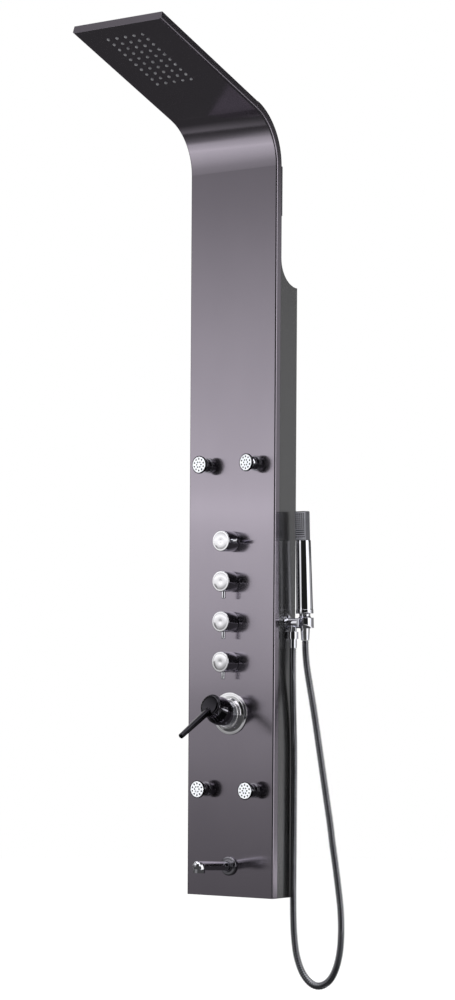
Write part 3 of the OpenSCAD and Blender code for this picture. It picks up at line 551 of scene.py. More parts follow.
class Wardrobe:
    """Makes each finish once and puts it on pieces."""

    def __init__(self) -> None:
        """Makes every finish's material."""
        self.materials = {slot: finish.make() for slot, finish in FINISHES.items()}
        self.tones = {tone: finish.make() for tone, finish in TONES.items()}
        record = frame["record"]
        rows = record.get("subparts") or []
        self.node_slots = {row["node"]: Slot(row["material_slot"]) for row in rows}

    def wear(self, piece: bpy.types.Object, slot: Slot, tone: Tone | None = None) -> None:
        """Gives a new piece a finish.

        Args:
            piece: The piece.
            slot: The record's finish for it.
            tone: What it wears in place of that finish, if anything.
        """
        piece.data.materials.clear()
        piece.data.materials.append(self.materials[slot] if tone is None else self.tones[tone])

    def dress_nodes(self) -> None:
        """Puts the record's finishes on the CAD nodes."""
        for name, node in frame["nodes"].items():
            material = self.materials[self.node_slots[name]]
            if not node.material_slots:
                node.data.materials.append(material)
            for material_slot in node.material_slots:
                material_slot.material = material


# ---------- camera and studio ----------


@dataclass
class ViewingCamera:
    """The camera, level with the mixer and to the right of the column."""

    place: tuple[float, float, float] = (3.20407, -4.37298, -0.66430)
    bearing: float = math.radians(36.8554)
    roll: float = 0.0060
    lens: float = 103.215
    rise: float = 0.18449
    slide: float = 0.00111

    def build(self) -> bpy.types.Object:
        """Builds the scene's camera.

        Returns:
            The camera object.
        """
        data = bpy.data.cameras.new("viewing_camera")
        data.lens, data.sensor_width, data.sensor_fit = self.lens, 36.0, "AUTO"
        data.shift_x, data.shift_y = self.slide, self.rise
        data.clip_end = 100.0
        camera = bpy.data.objects.new("viewing_camera", data)
        camera.matrix_world = (
            Matrix.Translation(self.place)
            @ Matrix.Rotation(self.bearing, 4, "Z")
            @ Matrix.Rotation(math.pi / 2, 4, "X")
            @ Matrix.Rotation(self.roll, 4, "Z"))
        bpy.context.scene.collection.objects.link(camera)
        bpy.context.scene.camera = camera
        return camera


@dataclass
class Studio:
    """A pale floor, a white surround, soft boxes and the dark cards between them.

    The bands of the surround are pairs of a bearing, in degrees right of the front, or of a
    height, in degrees, and the level there.
    """

    floor_z: float = -1.42
    floor_r: float = 7.0
    floor_white: float = 0.9
    floor_glow: float = 1.1
    floor_share: float = 0.86
    card_r: float = 6.0
    card_place: tuple = (-0.6, -0.9)
    card_level: float = 0.06
    card_ring: Stops = ((1.1, 0.0), (1.3, 0.2), (1.6, 0.22), (1.9, 0.05), (3.6, 0.02))
    card_left: Stops = ((-0.9, 1.0), (-0.5, 0.0))
    card_front: Stops = ((-0.3, 1.0), (0.2, 0.0))
    box_bearing: float = math.radians(-38)
    box_reach: float = 1.2
    box_half: float = 1.5
    box_foot: float = -0.93
    box_edge: float = 0.95
    box_plane: float = 0.07
    box_sides: Stops = ((-0.95, 0.0), (-0.75, 1.0), (0.86, 1.0), (0.95, 0.0))
    box_low: Stops = ((-0.6, 0.4), (-0.54, 1.0))
    box_far: Stops = ((-0.26, 0.4), (-0.2, 1.0))
    eye_h: float = 396.0
    eye_rise: float = math.radians(0.01071)
    foot_z: float = -1.06
    face_glow: Stops = (
        (-200, 0.16), (22, 0.2), (107, 0.25), (181, 0.29), (275, 0.42), (368, 0.47), (405, 0.60),
        (480, 0.715), (555, 0.82), (629, 0.89), (685, 0.98), (723, 1.16), (760, 0.98), (853, 0.91),
        (962, 0.79), (1040, 0.705), (1115, 0.6), (1190, 0.51), (1292, 0.385), (1423, 0.3),
        (1700, 0.04), (1780, 0.05), (1860, 0.24), (2160, 0.28))
    face_power: float = 1.04
    side_across: Stops = ((73, 0), (79, 1), (114, 1), (121, 0))
    side_upward: Stops = ((-55, 0.1), (-35, 0.6), (-10, 1.2), (25, 1.4), (50, 0.6), (70, 0.3))
    back_across: Stops = ((112, 0), (120, 1), (150, 1), (158, 0.12), (180, 0.12))
    back_upward: Stops = ((-60, 0.05), (-20, 0.3), (-4, 0.36), (9.5, 0.36), (10.6, 0.02), (40, 0.02))
    rear_across: Stops = ((-180, 1), (-160, 0.3), (-120, 0.12), (-84, 0.05), (-80, 0))
    rear_upward: Stops = ((-40, 0.1), (0, 0.3), (40, 0.3))
    top_upward: Stops = ((30, 0), (44, 0.05), (52, 0.7), (62, 1.5), (90, 1.7))
    white_across: Stops = ((-162, 0), (-156, 1), (-118, 1), (-110, 0))
    white_upward: Stops = ((-30, 0), (-20, 1), (40, 1), (50, 0))
    dim: float = 0.012

    def sky(self) -> None:
        """Draws the world: white to the camera, soft boxes to everything else."""
        world = bpy.data.worlds.new("studio")
        bpy.context.scene.world = world
        world.use_nodes = True
        graph = ShaderGraph(world.node_tree)
        split = graph.add("ShaderNodeSeparateXYZ")
        graph.join(graph.add("ShaderNodeTexCoord").outputs["Generated"], split.inputs[0])
        x, y, z = split.outputs
        ahead = graph.maths("MULTIPLY", y, -1.0)
        lift = graph.maths("MULTIPLY", graph.maths("ARCSINE", z), 180 / math.pi)
        turn = graph.maths("MULTIPLY", graph.maths("ARCTAN2", x, ahead), 180 / math.pi)

        def band(across: Stops, upward: Stops) -> bpy.types.NodeSocket:
            """Draws a level by the direction's bearing and height."""
            return graph.maths("MULTIPLY", graph.levels(turn, across, -180, 180),
                               graph.levels(lift, upward, -90, 90))

        level = graph.levels(lift, self.top_upward, -90, 90)
        for across, upward in ((self.side_across, self.side_upward), (self.back_across, self.back_upward),
                               (self.rear_across, self.rear_upward)):
            level = graph.maths("ADD", level, band(across, upward))
        level = graph.maths("ADD", level, self.dim)

        rays = graph.add("ShaderNodeLightPath")
        mirrored = graph.maths("MAXIMUM", rays.outputs["Is Glossy Ray"], rays.outputs["Is Transmission Ray"])
        seen = graph.maths("MULTIPLY", mirrored, band(self.white_across, self.white_upward))
        mix = graph.add("ShaderNodeMix", data_type="RGBA")
        graph.join(graph.maths("MAXIMUM", rays.outputs["Is Camera Ray"], seen), mix.inputs["Factor"])
        graph.join(level, mix.inputs[6])
        mix.inputs[7].default_value = (1.0, 1.0, 1.0, 1.0)
        background = graph.add("ShaderNodeBackground")
        graph.join(mix.outputs[2], background.inputs["Color"])
        graph.join(background.outputs[0], graph.add("ShaderNodeOutputWorld").inputs["Surface"])

    def staged(self, name: str, shape: bmesh.types.BMesh, material: bpy.types.Material,
               mirrored_only: bool) -> bpy.types.Object:
        """Links a stage piece.

        Args:
            name: The object's name.
            shape: Its bmesh, which is freed.
            material: Its material.
            mirrored_only: Whether only mirrored rays meet it.

        Returns:
            The stage piece.
        """
        mesh = bpy.data.meshes.new(name)
        shape.to_mesh(mesh)
        shape.free()
        mesh.materials.append(material)
        piece = bpy.data.objects.new(name, mesh)
        bpy.context.scene.collection.objects.link(piece)
        if mirrored_only:
            for way in ("camera", "diffuse", "shadow", "transmission", "volume_scatter"):
                setattr(piece, f"visible_{way}", False)
        return piece

    @staticmethod
    def stage_material(name: str) -> tuple[bpy.types.Material, ShaderGraph]:
        """Starts a material for a stage piece.

        Args:
            name: The material's name.

        Returns:
            The new material, and its empty graph.
        """
        material = bpy.data.materials.new(name)
        material.use_nodes = True
        return material, ShaderGraph(material.node_tree)

    def floor(self) -> None:
        """Lays the pale floor."""
        material, graph = self.stage_material("pale_floor")
        rays = graph.add("ShaderNodeLightPath")
        mirrored = graph.maths("MAXIMUM", rays.outputs["Is Glossy Ray"], rays.outputs["Is Transmission Ray"])
        shown = graph.maths("MAXIMUM", rays.outputs["Is Camera Ray"], mirrored)
        matt = graph.add("ShaderNodeBsdfDiffuse")
        matt.inputs["Color"].default_value = (*(self.floor_white,) * 3, 1.0)
        glow = graph.add("ShaderNodeEmission")
        graph.feed(glow, {"Color": (1.0, 1.0, 1.0, 1.0), "Strength": self.floor_glow})
        mix = graph.add("ShaderNodeMixShader")
        graph.join(graph.maths("MULTIPLY", shown, self.floor_share), mix.inputs[0])
        graph.join(matt.outputs[0], mix.inputs[1])
        graph.join(glow.outputs[0], mix.inputs[2])
        graph.join(mix.outputs[0], graph.add("ShaderNodeOutputMaterial").inputs["Surface"])
        shape = bmesh.new()
        bmesh.ops.create_circle(shape, cap_ends=True, radius=self.floor_r, segments=DISC_SIDES)
        self.staged("floor", shape, material, False).location.z = self.floor_z

    def dark_card(self) -> None:
        """Lays the dark card that shiny undersides see, with a faint ring to the front left."""
        material, graph = self.stage_material("dark_card")
        split = graph.add("ShaderNodeSeparateXYZ")
        graph.join(graph.add("ShaderNodeNewGeometry").outputs["Position"], split.inputs[0])
        x, y, _ = split.outputs
        squares = [graph.maths("MULTIPLY", way, way) for way in (x, y)]
        reach = graph.maths("SQRT", graph.maths("ADD", *squares))
        corner = graph.maths("MULTIPLY", graph.levels(x, self.card_left, -2, 2),
                             graph.levels(y, self.card_front, -2, 2))
        ring = graph.maths("MULTIPLY", graph.levels(reach, self.card_ring, 0, 4), corner)
        glow = graph.add("ShaderNodeEmission")
        graph.join(graph.maths("ADD", ring, self.card_level), glow.inputs["Color"])
        graph.join(glow.outputs[0], graph.add("ShaderNodeOutputMaterial").inputs["Surface"])
        shape = bmesh.new()
        bmesh.ops.create_circle(shape, cap_ends=True, radius=self.card_r, segments=DISC_SIDES)
        card = self.staged("dark_card", shape, material, True)
        card.location = (*self.card_place, self.floor_z + 0.01)

    def key_box(self) -> None:
        """Stands the soft box that the face mirrors, brightest level with the upper valve."""
        material, graph = self.stage_material("key_box")
        split = graph.add("ShaderNodeSeparateXYZ")
        graph.join(graph.add("ShaderNodeTexCoord").outputs["Object"], split.inputs[0])
        u, _, z = split.outputs
        reach = self.box_reach - self.box_plane
        stops = [(self.foot_z + h * MM + reach * math.tan((h - self.eye_h) * self.eye_rise), level)
                 for h, level in self.face_glow]
        corner = graph.maths("MAXIMUM", graph.levels(z, self.box_low, -2, 2),
                             graph.levels(u, self.box_far, -2, 2))
        level = graph.maths("MULTIPLY", graph.levels(z, stops, -self.box_half, self.box_half), corner)
        glow = graph.add("ShaderNodeEmission")
        graph.feed(glow, {
            "Color": graph.maths("MULTIPLY", level, graph.levels(u, self.box_sides, -1, 1)),
            "Strength": self.face_power})
        graph.join(glow.outputs[0], graph.add("ShaderNodeOutputMaterial").inputs["Surface"])
        shape = bmesh.new()
        foot, head, edge = self.box_foot * self.box_half, self.box_half, self.box_edge
        shape.faces.new([shape.verts.new(place) for place in (
            (-edge, 0, foot), (edge, 0, foot), (edge, 0, head), (-edge, 0, head))])
        box = self.staged("key_box", shape, material, True)
        box.matrix_world = (Matrix.Rotation(self.box_bearing, 4, "Z")
                            @ Matrix.Translation((0, -self.box_reach, 0)))

    def lamp(self, name: str, place: Sequence[float], size: float, power: float) -> None:
        """Hangs a soft lamp that faces the column.

        Args:
            name: The lamp's name.
            place: Where it hangs.
            size: The side of its square.
            power: Its power in watts.
        """
        data = bpy.data.lights.new(name, "AREA")
        data.shape, data.size, data.energy = "SQUARE", size, power
        lamp = bpy.data.objects.new(name, data)
        lamp.location = place
        aim = Vector((0, -0.1, -0.35)) - Vector(place)
        lamp.rotation_euler = aim.to_track_quat("-Z", "Y").to_euler()
        lamp.visible_glossy = False
        bpy.context.scene.collection.objects.link(lamp)

    def build(self) -> None:
        """Sets the view transform and builds the studio."""
        bpy.context.scene.view_settings.view_transform = "Standard"
        self.sky()
        self.floor()
        self.dark_card()
        self.key_box()
        self.lamp("front_soft_box", (-1.6, -3.6, 0.9), 2.2, 85.0)
        self.lamp("side_soft_box", (3.2, -1.0, 0.9), 1.8, 30.0)
        self.lamp("overhead_soft_box", (0.0, -0.8, 2.6), 2.0, 50.0)
        self.lamp("rear_soft_box", (0.6, 3.4, 0.9), 2.0, 60.0)


# ---------- meshes ----------


def finish_mesh(name: str, shape: bmesh.types.BMesh, smooth: bool = True) -> bpy.types.Object:
    """Turns a bmesh into a linked object.

    Args:
        name: The object's name.
        shape: The bmesh, which is freed.
        smooth: Whether its faces shade smoothly.

    Returns:
        The object.
    """
    bmesh.ops.recalc_face_normals(shape, faces=shape.faces)
    mesh = bpy.data.meshes.new(name)
    for face in shape.faces:
        face.smooth = smooth
    shape.to_mesh(mesh)
    shape.free()
    piece = bpy.data.objects.new(name, mesh)
    bpy.context.scene.collection.objects.link(piece)
    return piece


def add_modifier(piece: bpy.types.Object, kind: str, **settings: object) -> None:
    """Adds a modifier and applies it.

    Args:
        piece: The piece.
        kind: The modifier's type.
        settings: Attributes to set on it.
    """
    modifier = piece.modifiers.new(kind.lower(), kind)
    for name, value in settings.items():
        setattr(modifier, name, value)
    graph = bpy.context.evaluated_depsgraph_get()
    mesh = bpy.data.meshes.new_from_object(piece.evaluated_get(graph))
    piece.modifiers.clear()
    piece.data = mesh


def crease_by_angle(piece: bpy.types.Object, degrees: float) -> None:
    """Shades a piece smooth, with sharp edges above an angle."""
    piece.data.shade_smooth()
    piece.data.set_sharp_from_angle(angle=math.radians(degrees))


def ring_of(shape: bmesh.types.BMesh, radius: float, height: float, sides: int,
            u: float = 0.0, v: float = 0.0) -> list[bmesh.types.BMVert]:
    """Adds a level ring of vertices.

    Args:
        shape: The bmesh.
        radius: The ring's radius in millimetres.
        height: Its height in millimetres.
        sides: Its number of vertices.
        u: Its middle along X in millimetres.
        v: Its middle along Y in millimetres.

    Returns:
        The ring's vertices.
    """
    turns = (2 * math.pi * k / sides for k in range(sides))
    return [shape.verts.new(((u + radius * math.cos(a)) * MM, (v + radius * math.sin(a)) * MM, height * MM))
            for a in turns]


def bridge(shape: bmesh.types.BMesh, lower: Ring, upper: Ring) -> list[bmesh.types.BMFace]:
    """Joins two rings of as many vertices by a band of faces.

    Args:
        shape: The mesh being built.
        lower: The first ring.
        upper: The second ring.

    Returns:
        The band's faces.
    """
    return [shape.faces.new((low, low_next, high_next, high))
            for low, low_next, high_next, high in zip(
                lower, (*lower[1:], lower[0]), (*upper[1:], upper[0]), upper)]


def tube_between(shape: bmesh.types.BMesh, rings: Sequence[Ring]) -> None:
    """Joins rings one to the next and closes both ends.

    Args:
        shape: The mesh being built.
        rings: The rings, in order along the tube.
    """
    for lower, upper in zip(rings, rings[1:]):
        bridge(shape, lower, upper)
    shape.faces.new(rings[0][::-1])
    shape.faces.new(rings[-1])


def lathe(name: str, profile: Profile, place: Matrix, sides: int = DISC_SIDES) -> bpy.types.Object:
    """Spins a profile round its own Z axis.

    Args:
        name: The piece's name.
        profile: Pairs of radius and height in millimetres, closed at the axis by radius 0.
        place: Where the spun piece goes.
        sides: Its number of sides.

    Returns:
        The piece.
    """
    shape = bmesh.new()
    closed = profile[0] == profile[-1]
    rings = []
    for radius, height in profile[:-1] if closed else profile:
        if radius == 0:
            rings.append([shape.verts.new((0, 0, height * MM))])
        else:
            rings.append(ring_of(shape, radius, height, sides))
    if closed:
        rings.append(rings[0])
    for lower, upper in zip(rings, rings[1:]):
        for k in range(sides):
            j = (k + 1) % sides
            corners = (lower[k % len(lower)], lower[j % len(lower)],
                       upper[j % len(upper)], upper[k % len(upper)])
            unique = list(dict.fromkeys(corners))
            if len(unique) > 2:
                shape.faces.new(unique)
    piece = finish_mesh(name, shape)
    piece.data.transform(place)
    crease_by_angle(piece, TURNED_CREASE)
    return piece


def refined_copy(node: str, width: float, slot: Slot, wardrobe: Wardrobe, tone: Tone | None = None,
                 angle: float = 34, segments: int = 3) -> bpy.types.Object:
    """Copies a CAD node, eases its edges and shows the copy in its place.

    Args:
        node: The CAD node.
        width: The width of the eased edges in millimetres.
        slot: The copy's finish.
        wardrobe: What dresses it.
        tone: What it wears in place of its finish, if anything.
        angle: Edges sharper than this many degrees are eased.
        segments: The number of faces across an eased edge.

    Returns:
        The copy.
    """
    source = frame["nodes"][node]
    shape = bmesh.new()
    shape.from_mesh(source.data)
    bmesh.ops.remove_doubles(shape, verts=shape.verts, dist=WELD)
    bmesh.ops.dissolve_limit(shape, angle_limit=math.radians(FLAT_DEGREES), verts=shape.verts,
                             edges=shape.edges)
    piece = finish_mesh(f"{node}_eased", shape)
    add_modifier(piece, "BEVEL", width=width * MM, segments=segments, limit_method="ANGLE",
                 angle_limit=math.radians(angle), use_clamp_overlap=True, miter_outer="MITER_ARC")
    crease_by_angle(piece, EASED_CREASE)
    wardrobe.wear(piece, slot, tone)
    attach(piece, source["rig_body"])
    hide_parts(node)
    return piece


def middle(node: str) -> Vector:
    """Returns the middle of a CAD node's box."""
    low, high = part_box(node)
    return (low + high) / 2


def outward(x: float, y: float, z: float) -> Matrix:
    """Returns the frame at a point whose Z stands out of the panel's face."""
    return Matrix.Translation((x, y, z)) @ Matrix.Rotation(math.pi / 2, 4, "X")


def settle(piece: bpy.types.Object, body: str, *nodes: str) -> bpy.types.Object:
    """Makes a piece ride on a body and stand for CAD nodes.

    Args:
        piece: The piece.
        body: The body that it moves with.
        nodes: The CAD nodes that it stands for.

    Returns:
        The piece.
    """
    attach(piece, body)
    if nodes:
        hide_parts(*nodes)
    return piece


def pips(name: str, spots: Sequence[tuple[float, float]], radius: float, proud: float, place: Matrix,
         sides: int = 12) -> bpy.types.Object:
    """Makes a group of small domed pips on a flat face.

    Args:
        name: The piece's name.
        spots: Where the pips stand, in millimetres on the face.
        radius: Their radius in millimetres.
        proud: How far they stand out of the face, in millimetres.
        place: The face's frame, whose Z stands out of it.
        sides: The number of sides of each pip.

    Returns:
        The piece.
    """
    shape = bmesh.new()
    dome = ((1.0, 0.0), (1.0, 0.45), (0.85, 0.8), (0.5, 1.0))
    for u, v in spots:
        tube_between(shape, [ring_of(shape, radius * share, proud * height, sides, u, v)
                             for share, height in dome])
    piece = finish_mesh(name, shape)
    piece.data.transform(place)
    crease_by_angle(piece, PIP_CREASE)
    return piece


# ---------- body jets ----------


@dataclass(frozen=True)
class BodyJet:
    """A tilting body jet: a dark cup, a bright rim, a pale face and its outlets."""

    jet: Jet
    rim: Profile = (
        (14.0, 13.0), (15.8, 13.6), (16.35, 14.0), (16.5, 14.6), (16.5, 16.6), (16.3, 17.3),
        (15.9, 17.75), (15.5, 17.9), (15.2, 17.8), (15.1, 17.3), (15.1, 15.2), (14.0, 13.0))
    cup: Profile = (
        (7.0, 6.3), (7.0, 9.7), (7.3, 10.1), (13.2, 12.0), (13.8, 12.4), (14.0, 13.0), (14.9, 15.1),
        (6.0, 11.5), (6.0, 7.1), (7.0, 6.3))
    face: Profile = (
        (0, 15.2), (15.0, 15.2), (15.0, 17.2), (14.8, 17.5), (14.4, 17.65), (9, 17.8), (0, 17.9))
    outlet_rings: tuple = ((10.9, 10, 18.0), (5.0, 6, 0.0))   # radius, count and first angle
    outlet_r: float = 1.7
    outlet_proud: float = 0.35
    outlet_foot: float = 17.65

    def place(self) -> Matrix:
        """Finds the head's frame from its tilt joint.

        Returns:
            The frame at the ball's middle whose Z leaves through the face.
        """
        joint = next(row for row in frame["joints"] if row["name"] == f"jet_{self.jet.value}_tilt")
        level = Vector(joint["axis"]).normalized()
        ahead = Vector((level.y, -level.x, 0))
        turn = Matrix((level, Vector((0, 0, 1)), ahead)).transposed().to_4x4()
        return Matrix.Translation(joint["pos_m"]) @ turn

    def build(self, wardrobe: Wardrobe) -> None:
        """Builds the jet's head.

        Args:
            wardrobe: What dresses it.
        """
        body = f"jet_head_{self.jet.value}"
        place = self.place()
        spots = [(radius * math.cos(a), radius * math.sin(a)) for radius, count, first in self.outlet_rings
                 for a in (math.radians(first + 360 / count * k) for k in range(count))]
        rim = lathe(f"jet_rim_{self.jet.value}", self.rim, place)
        wardrobe.wear(rim, Slot.BLACK_MIRROR)
        cup = lathe(f"jet_cup_{self.jet.value}", self.cup, place)
        wardrobe.wear(cup, Slot.BLACK_MOULDING)
        face = lathe(f"jet_face_{self.jet.value}", self.face, place)
        wardrobe.wear(face, Slot.WHITE_SPRAY_FACE)
        outlets = pips(f"jet_outlets_{self.jet.value}", spots, self.outlet_r, self.outlet_proud,
                       place @ Matrix.Translation((0, 0, self.outlet_foot * MM)))
        # The outlet pips wear near-black paint for the shade of the outlet holes.
        wardrobe.wear(outlets, Slot.BLACK_MOULDING, Tone.GROOVE)
        settle(rim, body, body)
        for piece in (cup, face, outlets):
            settle(piece, body)


# ---------- valve knobs ----------


@dataclass(frozen=True)
class ValveKnob:
    """A round valve knob with a turned face and a hollow back."""

    number: int
    face_y: float = -86.0
    front_cosine: float = 0.9
    pin_edge: float = 0.5
    profile: Profile = (
        (0, 17.9), (17, 17.9), (17, 0.8), (19.0, 0.8), (19.25, 0.9), (19.35, 1.15), (19.4, 31.6),
        (19.3, 32.1), (19.0, 32.55), (18.55, 32.85), (18.0, 32.95), (15.9, 33.0), (15.75, 32.9),
        (15.6, 32.88), (15.45, 32.9), (15.3, 33.0), (2.4, 33.0), (2.2, 32.92), (1.0, 32.9), (0, 32.9))

    def build(self, wardrobe: Wardrobe) -> None:
        """Builds the knob.

        Args:
            wardrobe: What dresses it.
        """
        body = f"knob_{self.number}"
        centre = middle(body)
        place = outward(centre.x, self.face_y * MM, centre.z)
        knob = lathe(f"valve_knob_{self.number}", self.profile, place)
        wardrobe.wear(knob, Slot.CHROME_TRIM)
        # The front faces wear the brightened chrome copy: a painted highlight.
        knob.data.materials.append(wardrobe.tones[Tone.BRIGHT_FACE])
        for face in knob.data.polygons:
            face.material_index = int(face.normal.y < -self.front_cosine)
        settle(knob, body, body)
        refined_copy(f"knob_pin_{self.number}", self.pin_edge, Slot.CHROME_TRIM, wardrobe)


# ---------- mixer ----------


@dataclass(frozen=True)
class Mixer:
    """The mixer's rose, bonnet, black hub and black lever rod, with eased edges."""

    rose_edge: float = 1.6
    rose_angle: float = 28.0
    bonnet_edge: float = 0.7
    hub_edge: float = 0.9
    rod_edge: float = 0.5
    side_cosine: float = 0.3

    @staticmethod
    def hub_axis() -> Vector:
        """Returns the direction from the hub's tilt axis to its front."""
        joint = next(row for row in frame["joints"] if row["name"] == "mixer_lift")
        return (middle("mixer_hub") - Vector(joint["pos_m"])).normalized()

    def build(self, wardrobe: Wardrobe) -> None:
        """Builds the mixer's showing pieces.

        Args:
            wardrobe: What dresses it.
        """
        # The rose wears the brightened chrome copy: a painted highlight.
        refined_copy("mixer_escutcheon", self.rose_edge, Slot.CHROME_TRIM, wardrobe, Tone.BRIGHT_FACE,
                     angle=self.rose_angle)
        refined_copy("mixer_bonnet", self.bonnet_edge, Slot.CHROME_TRIM, wardrobe)
        hub = refined_copy("mixer_hub", self.hub_edge, Slot.BLACK_MIRROR, wardrobe)
        # The hub's sides wear the darkened chrome copy: painted shade.
        hub.data.materials.append(wardrobe.tones[Tone.DARK_CHROME])
        axis = self.hub_axis()
        for face in hub.data.polygons:
            face.material_index = int(face.normal.dot(axis) < self.side_cosine)
        refined_copy("mixer_rod", self.rod_edge, Slot.BLACK_MIRROR, wardrobe)


# ---------- spout, jet sockets and outlet ----------


@dataclass(frozen=True)
class WallFittings:
    """The plated fittings on the panel and beside it, with eased edges."""

    # The spout flange, jet sockets and valve collars wear the darkened chrome copy: painted shade.
    rows: tuple = (
        ("spout_flange", 1.1, Slot.CHROME_TRIM, Tone.DARK_CHROME),
        ("spout_tube", 0.7, Slot.CHROME_TRIM, None),
        ("jet_sockets", 0.6, Slot.CHROME_TRIM, Tone.DARK_CHROME),
        ("valve_collars", 0.5, Slot.CHROME_TRIM, Tone.DARK_CHROME),
        ("outlet_elbow", 0.7, Slot.CHROME_TRIM, None),
        ("holder_ring", 0.7, Slot.CHROME_TRIM, None),
        ("hand_grip", 0.6, Slot.CHROME_TRIM, None))

    def build(self, wardrobe: Wardrobe) -> None:
        """Builds each fitting's eased copy.

        Args:
            wardrobe: What dresses it.
        """
        for node, width, slot, tone in self.rows:
            refined_copy(node, width, slot, wardrobe, tone)
            LOG.info("eased: %s", node)


# ---------- hand shower ----------


@dataclass(frozen=True)
class SprayHead:
    """The hand shower's spray head, flat in front, with its jets, slots and fine holes."""

    length: float = 54.0
    radius: float = 12.6
    flat: float = 10.0
    side: float = 12.2
    arc_steps: int = 22
    corner: Profile = ((0.0, 2.2), (0.4, 0.9), (1.1, 0.25), (2.2, 0.0))   # in from the side, and up
    foot_ease: Profile = ((0.0, 0.9), (0.3, 0.35), (0.9, 0.0))            # height, and inset
    top_ease: Profile = ((1.6, 0.0), (0.6, 0.35), (0.15, 0.95), (0.0, 1.6))   # below the top, and inset
    front_half: float = 10.6
    front_cosine: float = 0.6
    skin: float = 0.02
    columns: tuple = (-8.6, -4.3, 0.0, 4.3, 8.6)
    rows: tuple = (22.6, 26.3, 30.0, 33.7, 37.4, 41.1, 44.8, 48.5)
    slots: tuple = (18.6, 14.8, 11.0)
    slot_half: tuple = (10.0, 0.95)
    hole_row: float = 6.6
    hole_r: float = 1.5
    hole_sides: int = 14
    sink: float = 0.9
    tip_r: float = 0.7
    tip_proud: float = 0.6

    def place(self) -> Matrix:
        """Finds the head's frame from its lift joint.

        Returns:
            The frame at the head's foot: Z up the handle, Y towards the wall.
        """
        joint = next(row for row in frame["joints"] if row["name"] == "hand_shower_lift")
        up = Vector(joint["axis"]).normalized()
        level = Vector((1, 0, 0))
        back = up.cross(level)
        low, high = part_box("hand_head")
        foot_z = low.z + self.flat * MM * abs(up.y)
        foot_y = low.y + (self.flat * MM + self.length * MM * abs(up.y)) * up.z
        foot = Vector(((low.x + high.x) / 2, foot_y, foot_z))
        return Matrix.Translation(foot) @ Matrix((level, back, up)).transposed().to_4x4()

    def outline(self) -> list[tuple[float, float]]:
        """Works out the head's section, flat in front and round behind.

        Returns:
            The section's points, in millimetres.
        """
        arc = [(self.radius * math.cos(a), self.radius * math.sin(a))
               for a in (math.pi * k / self.arc_steps for k in range(self.arc_steps + 1))]
        front = [(-self.side + inward, -self.flat + up) for inward, up in self.corner]
        return arc + front + [(-x, y) for x, y in front[::-1]]

    def body(self) -> bpy.types.Object:
        """Builds the head's closed body with softened ends.

        Returns:
            The body, not yet dressed.
        """
        shape = bmesh.new()
        eased = [*self.foot_ease, *((self.length - below, inset) for below, inset in self.top_ease)]
        rings = []
        for height, inset in eased:
            share = 1 - inset / self.radius
            rings.append([shape.verts.new((x * share * MM, y * share * MM, height * MM))
                          for x, y in self.outline()])
        tube_between(shape, rings)
        piece = finish_mesh("spray_head", shape)
        crease_by_angle(piece, HEAD_CREASE)
        return piece

    def spots(self) -> list[tuple[float, float]]:
        """Returns where the fine holes are on the front, in millimetres."""
        return [(x, height) for x in self.columns for height in (*self.rows, self.hole_row)]

    def cutter(self) -> bpy.types.Object:
        """Builds what sinks the slots and the fine holes into the head's front.

        Returns:
            The cutting piece.
        """
        shape = bmesh.new()
        half_w, half_h = self.slot_half
        for height in self.slots:
            middle_point = Matrix.Translation((0, -self.flat * MM, height * MM))
            size = Matrix.Diagonal((2 * half_w * MM, 2 * self.sink * MM, 2 * half_h * MM, 1))
            bmesh.ops.create_cube(shape, size=1, matrix=middle_point @ size)
        for x, height in self.spots():
            middle_point = Matrix.Translation((x * MM, -self.flat * MM, height * MM))
            bmesh.ops.create_cone(
                shape, cap_ends=True, segments=self.hole_sides, radius1=self.hole_r * MM,
                radius2=self.hole_r * MM, depth=2 * self.sink * MM,
                matrix=middle_point @ Matrix.Rotation(math.pi / 2, 4, "X"))
        return finish_mesh("spray_cutter", shape, smooth=False)

    def build(self, wardrobe: Wardrobe) -> None:
        """Builds the head.

        Args:
            wardrobe: What dresses it.
        """
        place = self.place()
        head, cutter = self.body(), self.cutter()
        add_modifier(head, "BOOLEAN", object=cutter, operation="DIFFERENCE", solver="EXACT")
        bpy.data.objects.remove(cutter)
        wardrobe.wear(head, Slot.GREY_SPRAY_HEAD)
        head.data.materials.append(wardrobe.tones[Tone.GROOVE])
        head.data.materials.append(wardrobe.tones[Tone.HEAD_SHELL])
        for face in head.data.polygons:
            depth = face.center.y / MM + self.flat
            # Faces sunk in the slots and holes wear near-black painted shade.
            if self.skin < depth < self.sink + 0.1 and abs(face.center.x) < self.front_half * MM:
                face.material_index = 1
            # Faces not turned to the front wear the darker grey copy: painted shade.
            elif face.normal.y > -self.front_cosine:
                face.material_index = 2
        head.data.transform(place)
        crease_by_angle(head, HEAD_CREASE)
        settle(head, "hand_shower", "hand_head")
        front = (place @ Matrix.Translation((0, (-self.flat + self.sink) * MM, 0))
                 @ Matrix.Rotation(math.pi / 2, 4, "X"))
        tips = pips("spray_tips", self.spots(), self.tip_r, self.tip_proud, front)
        wardrobe.wear(tips, Slot.BLACK_MOULDING)
        settle(tips, "hand_shower")


# ---------- the hose ----------


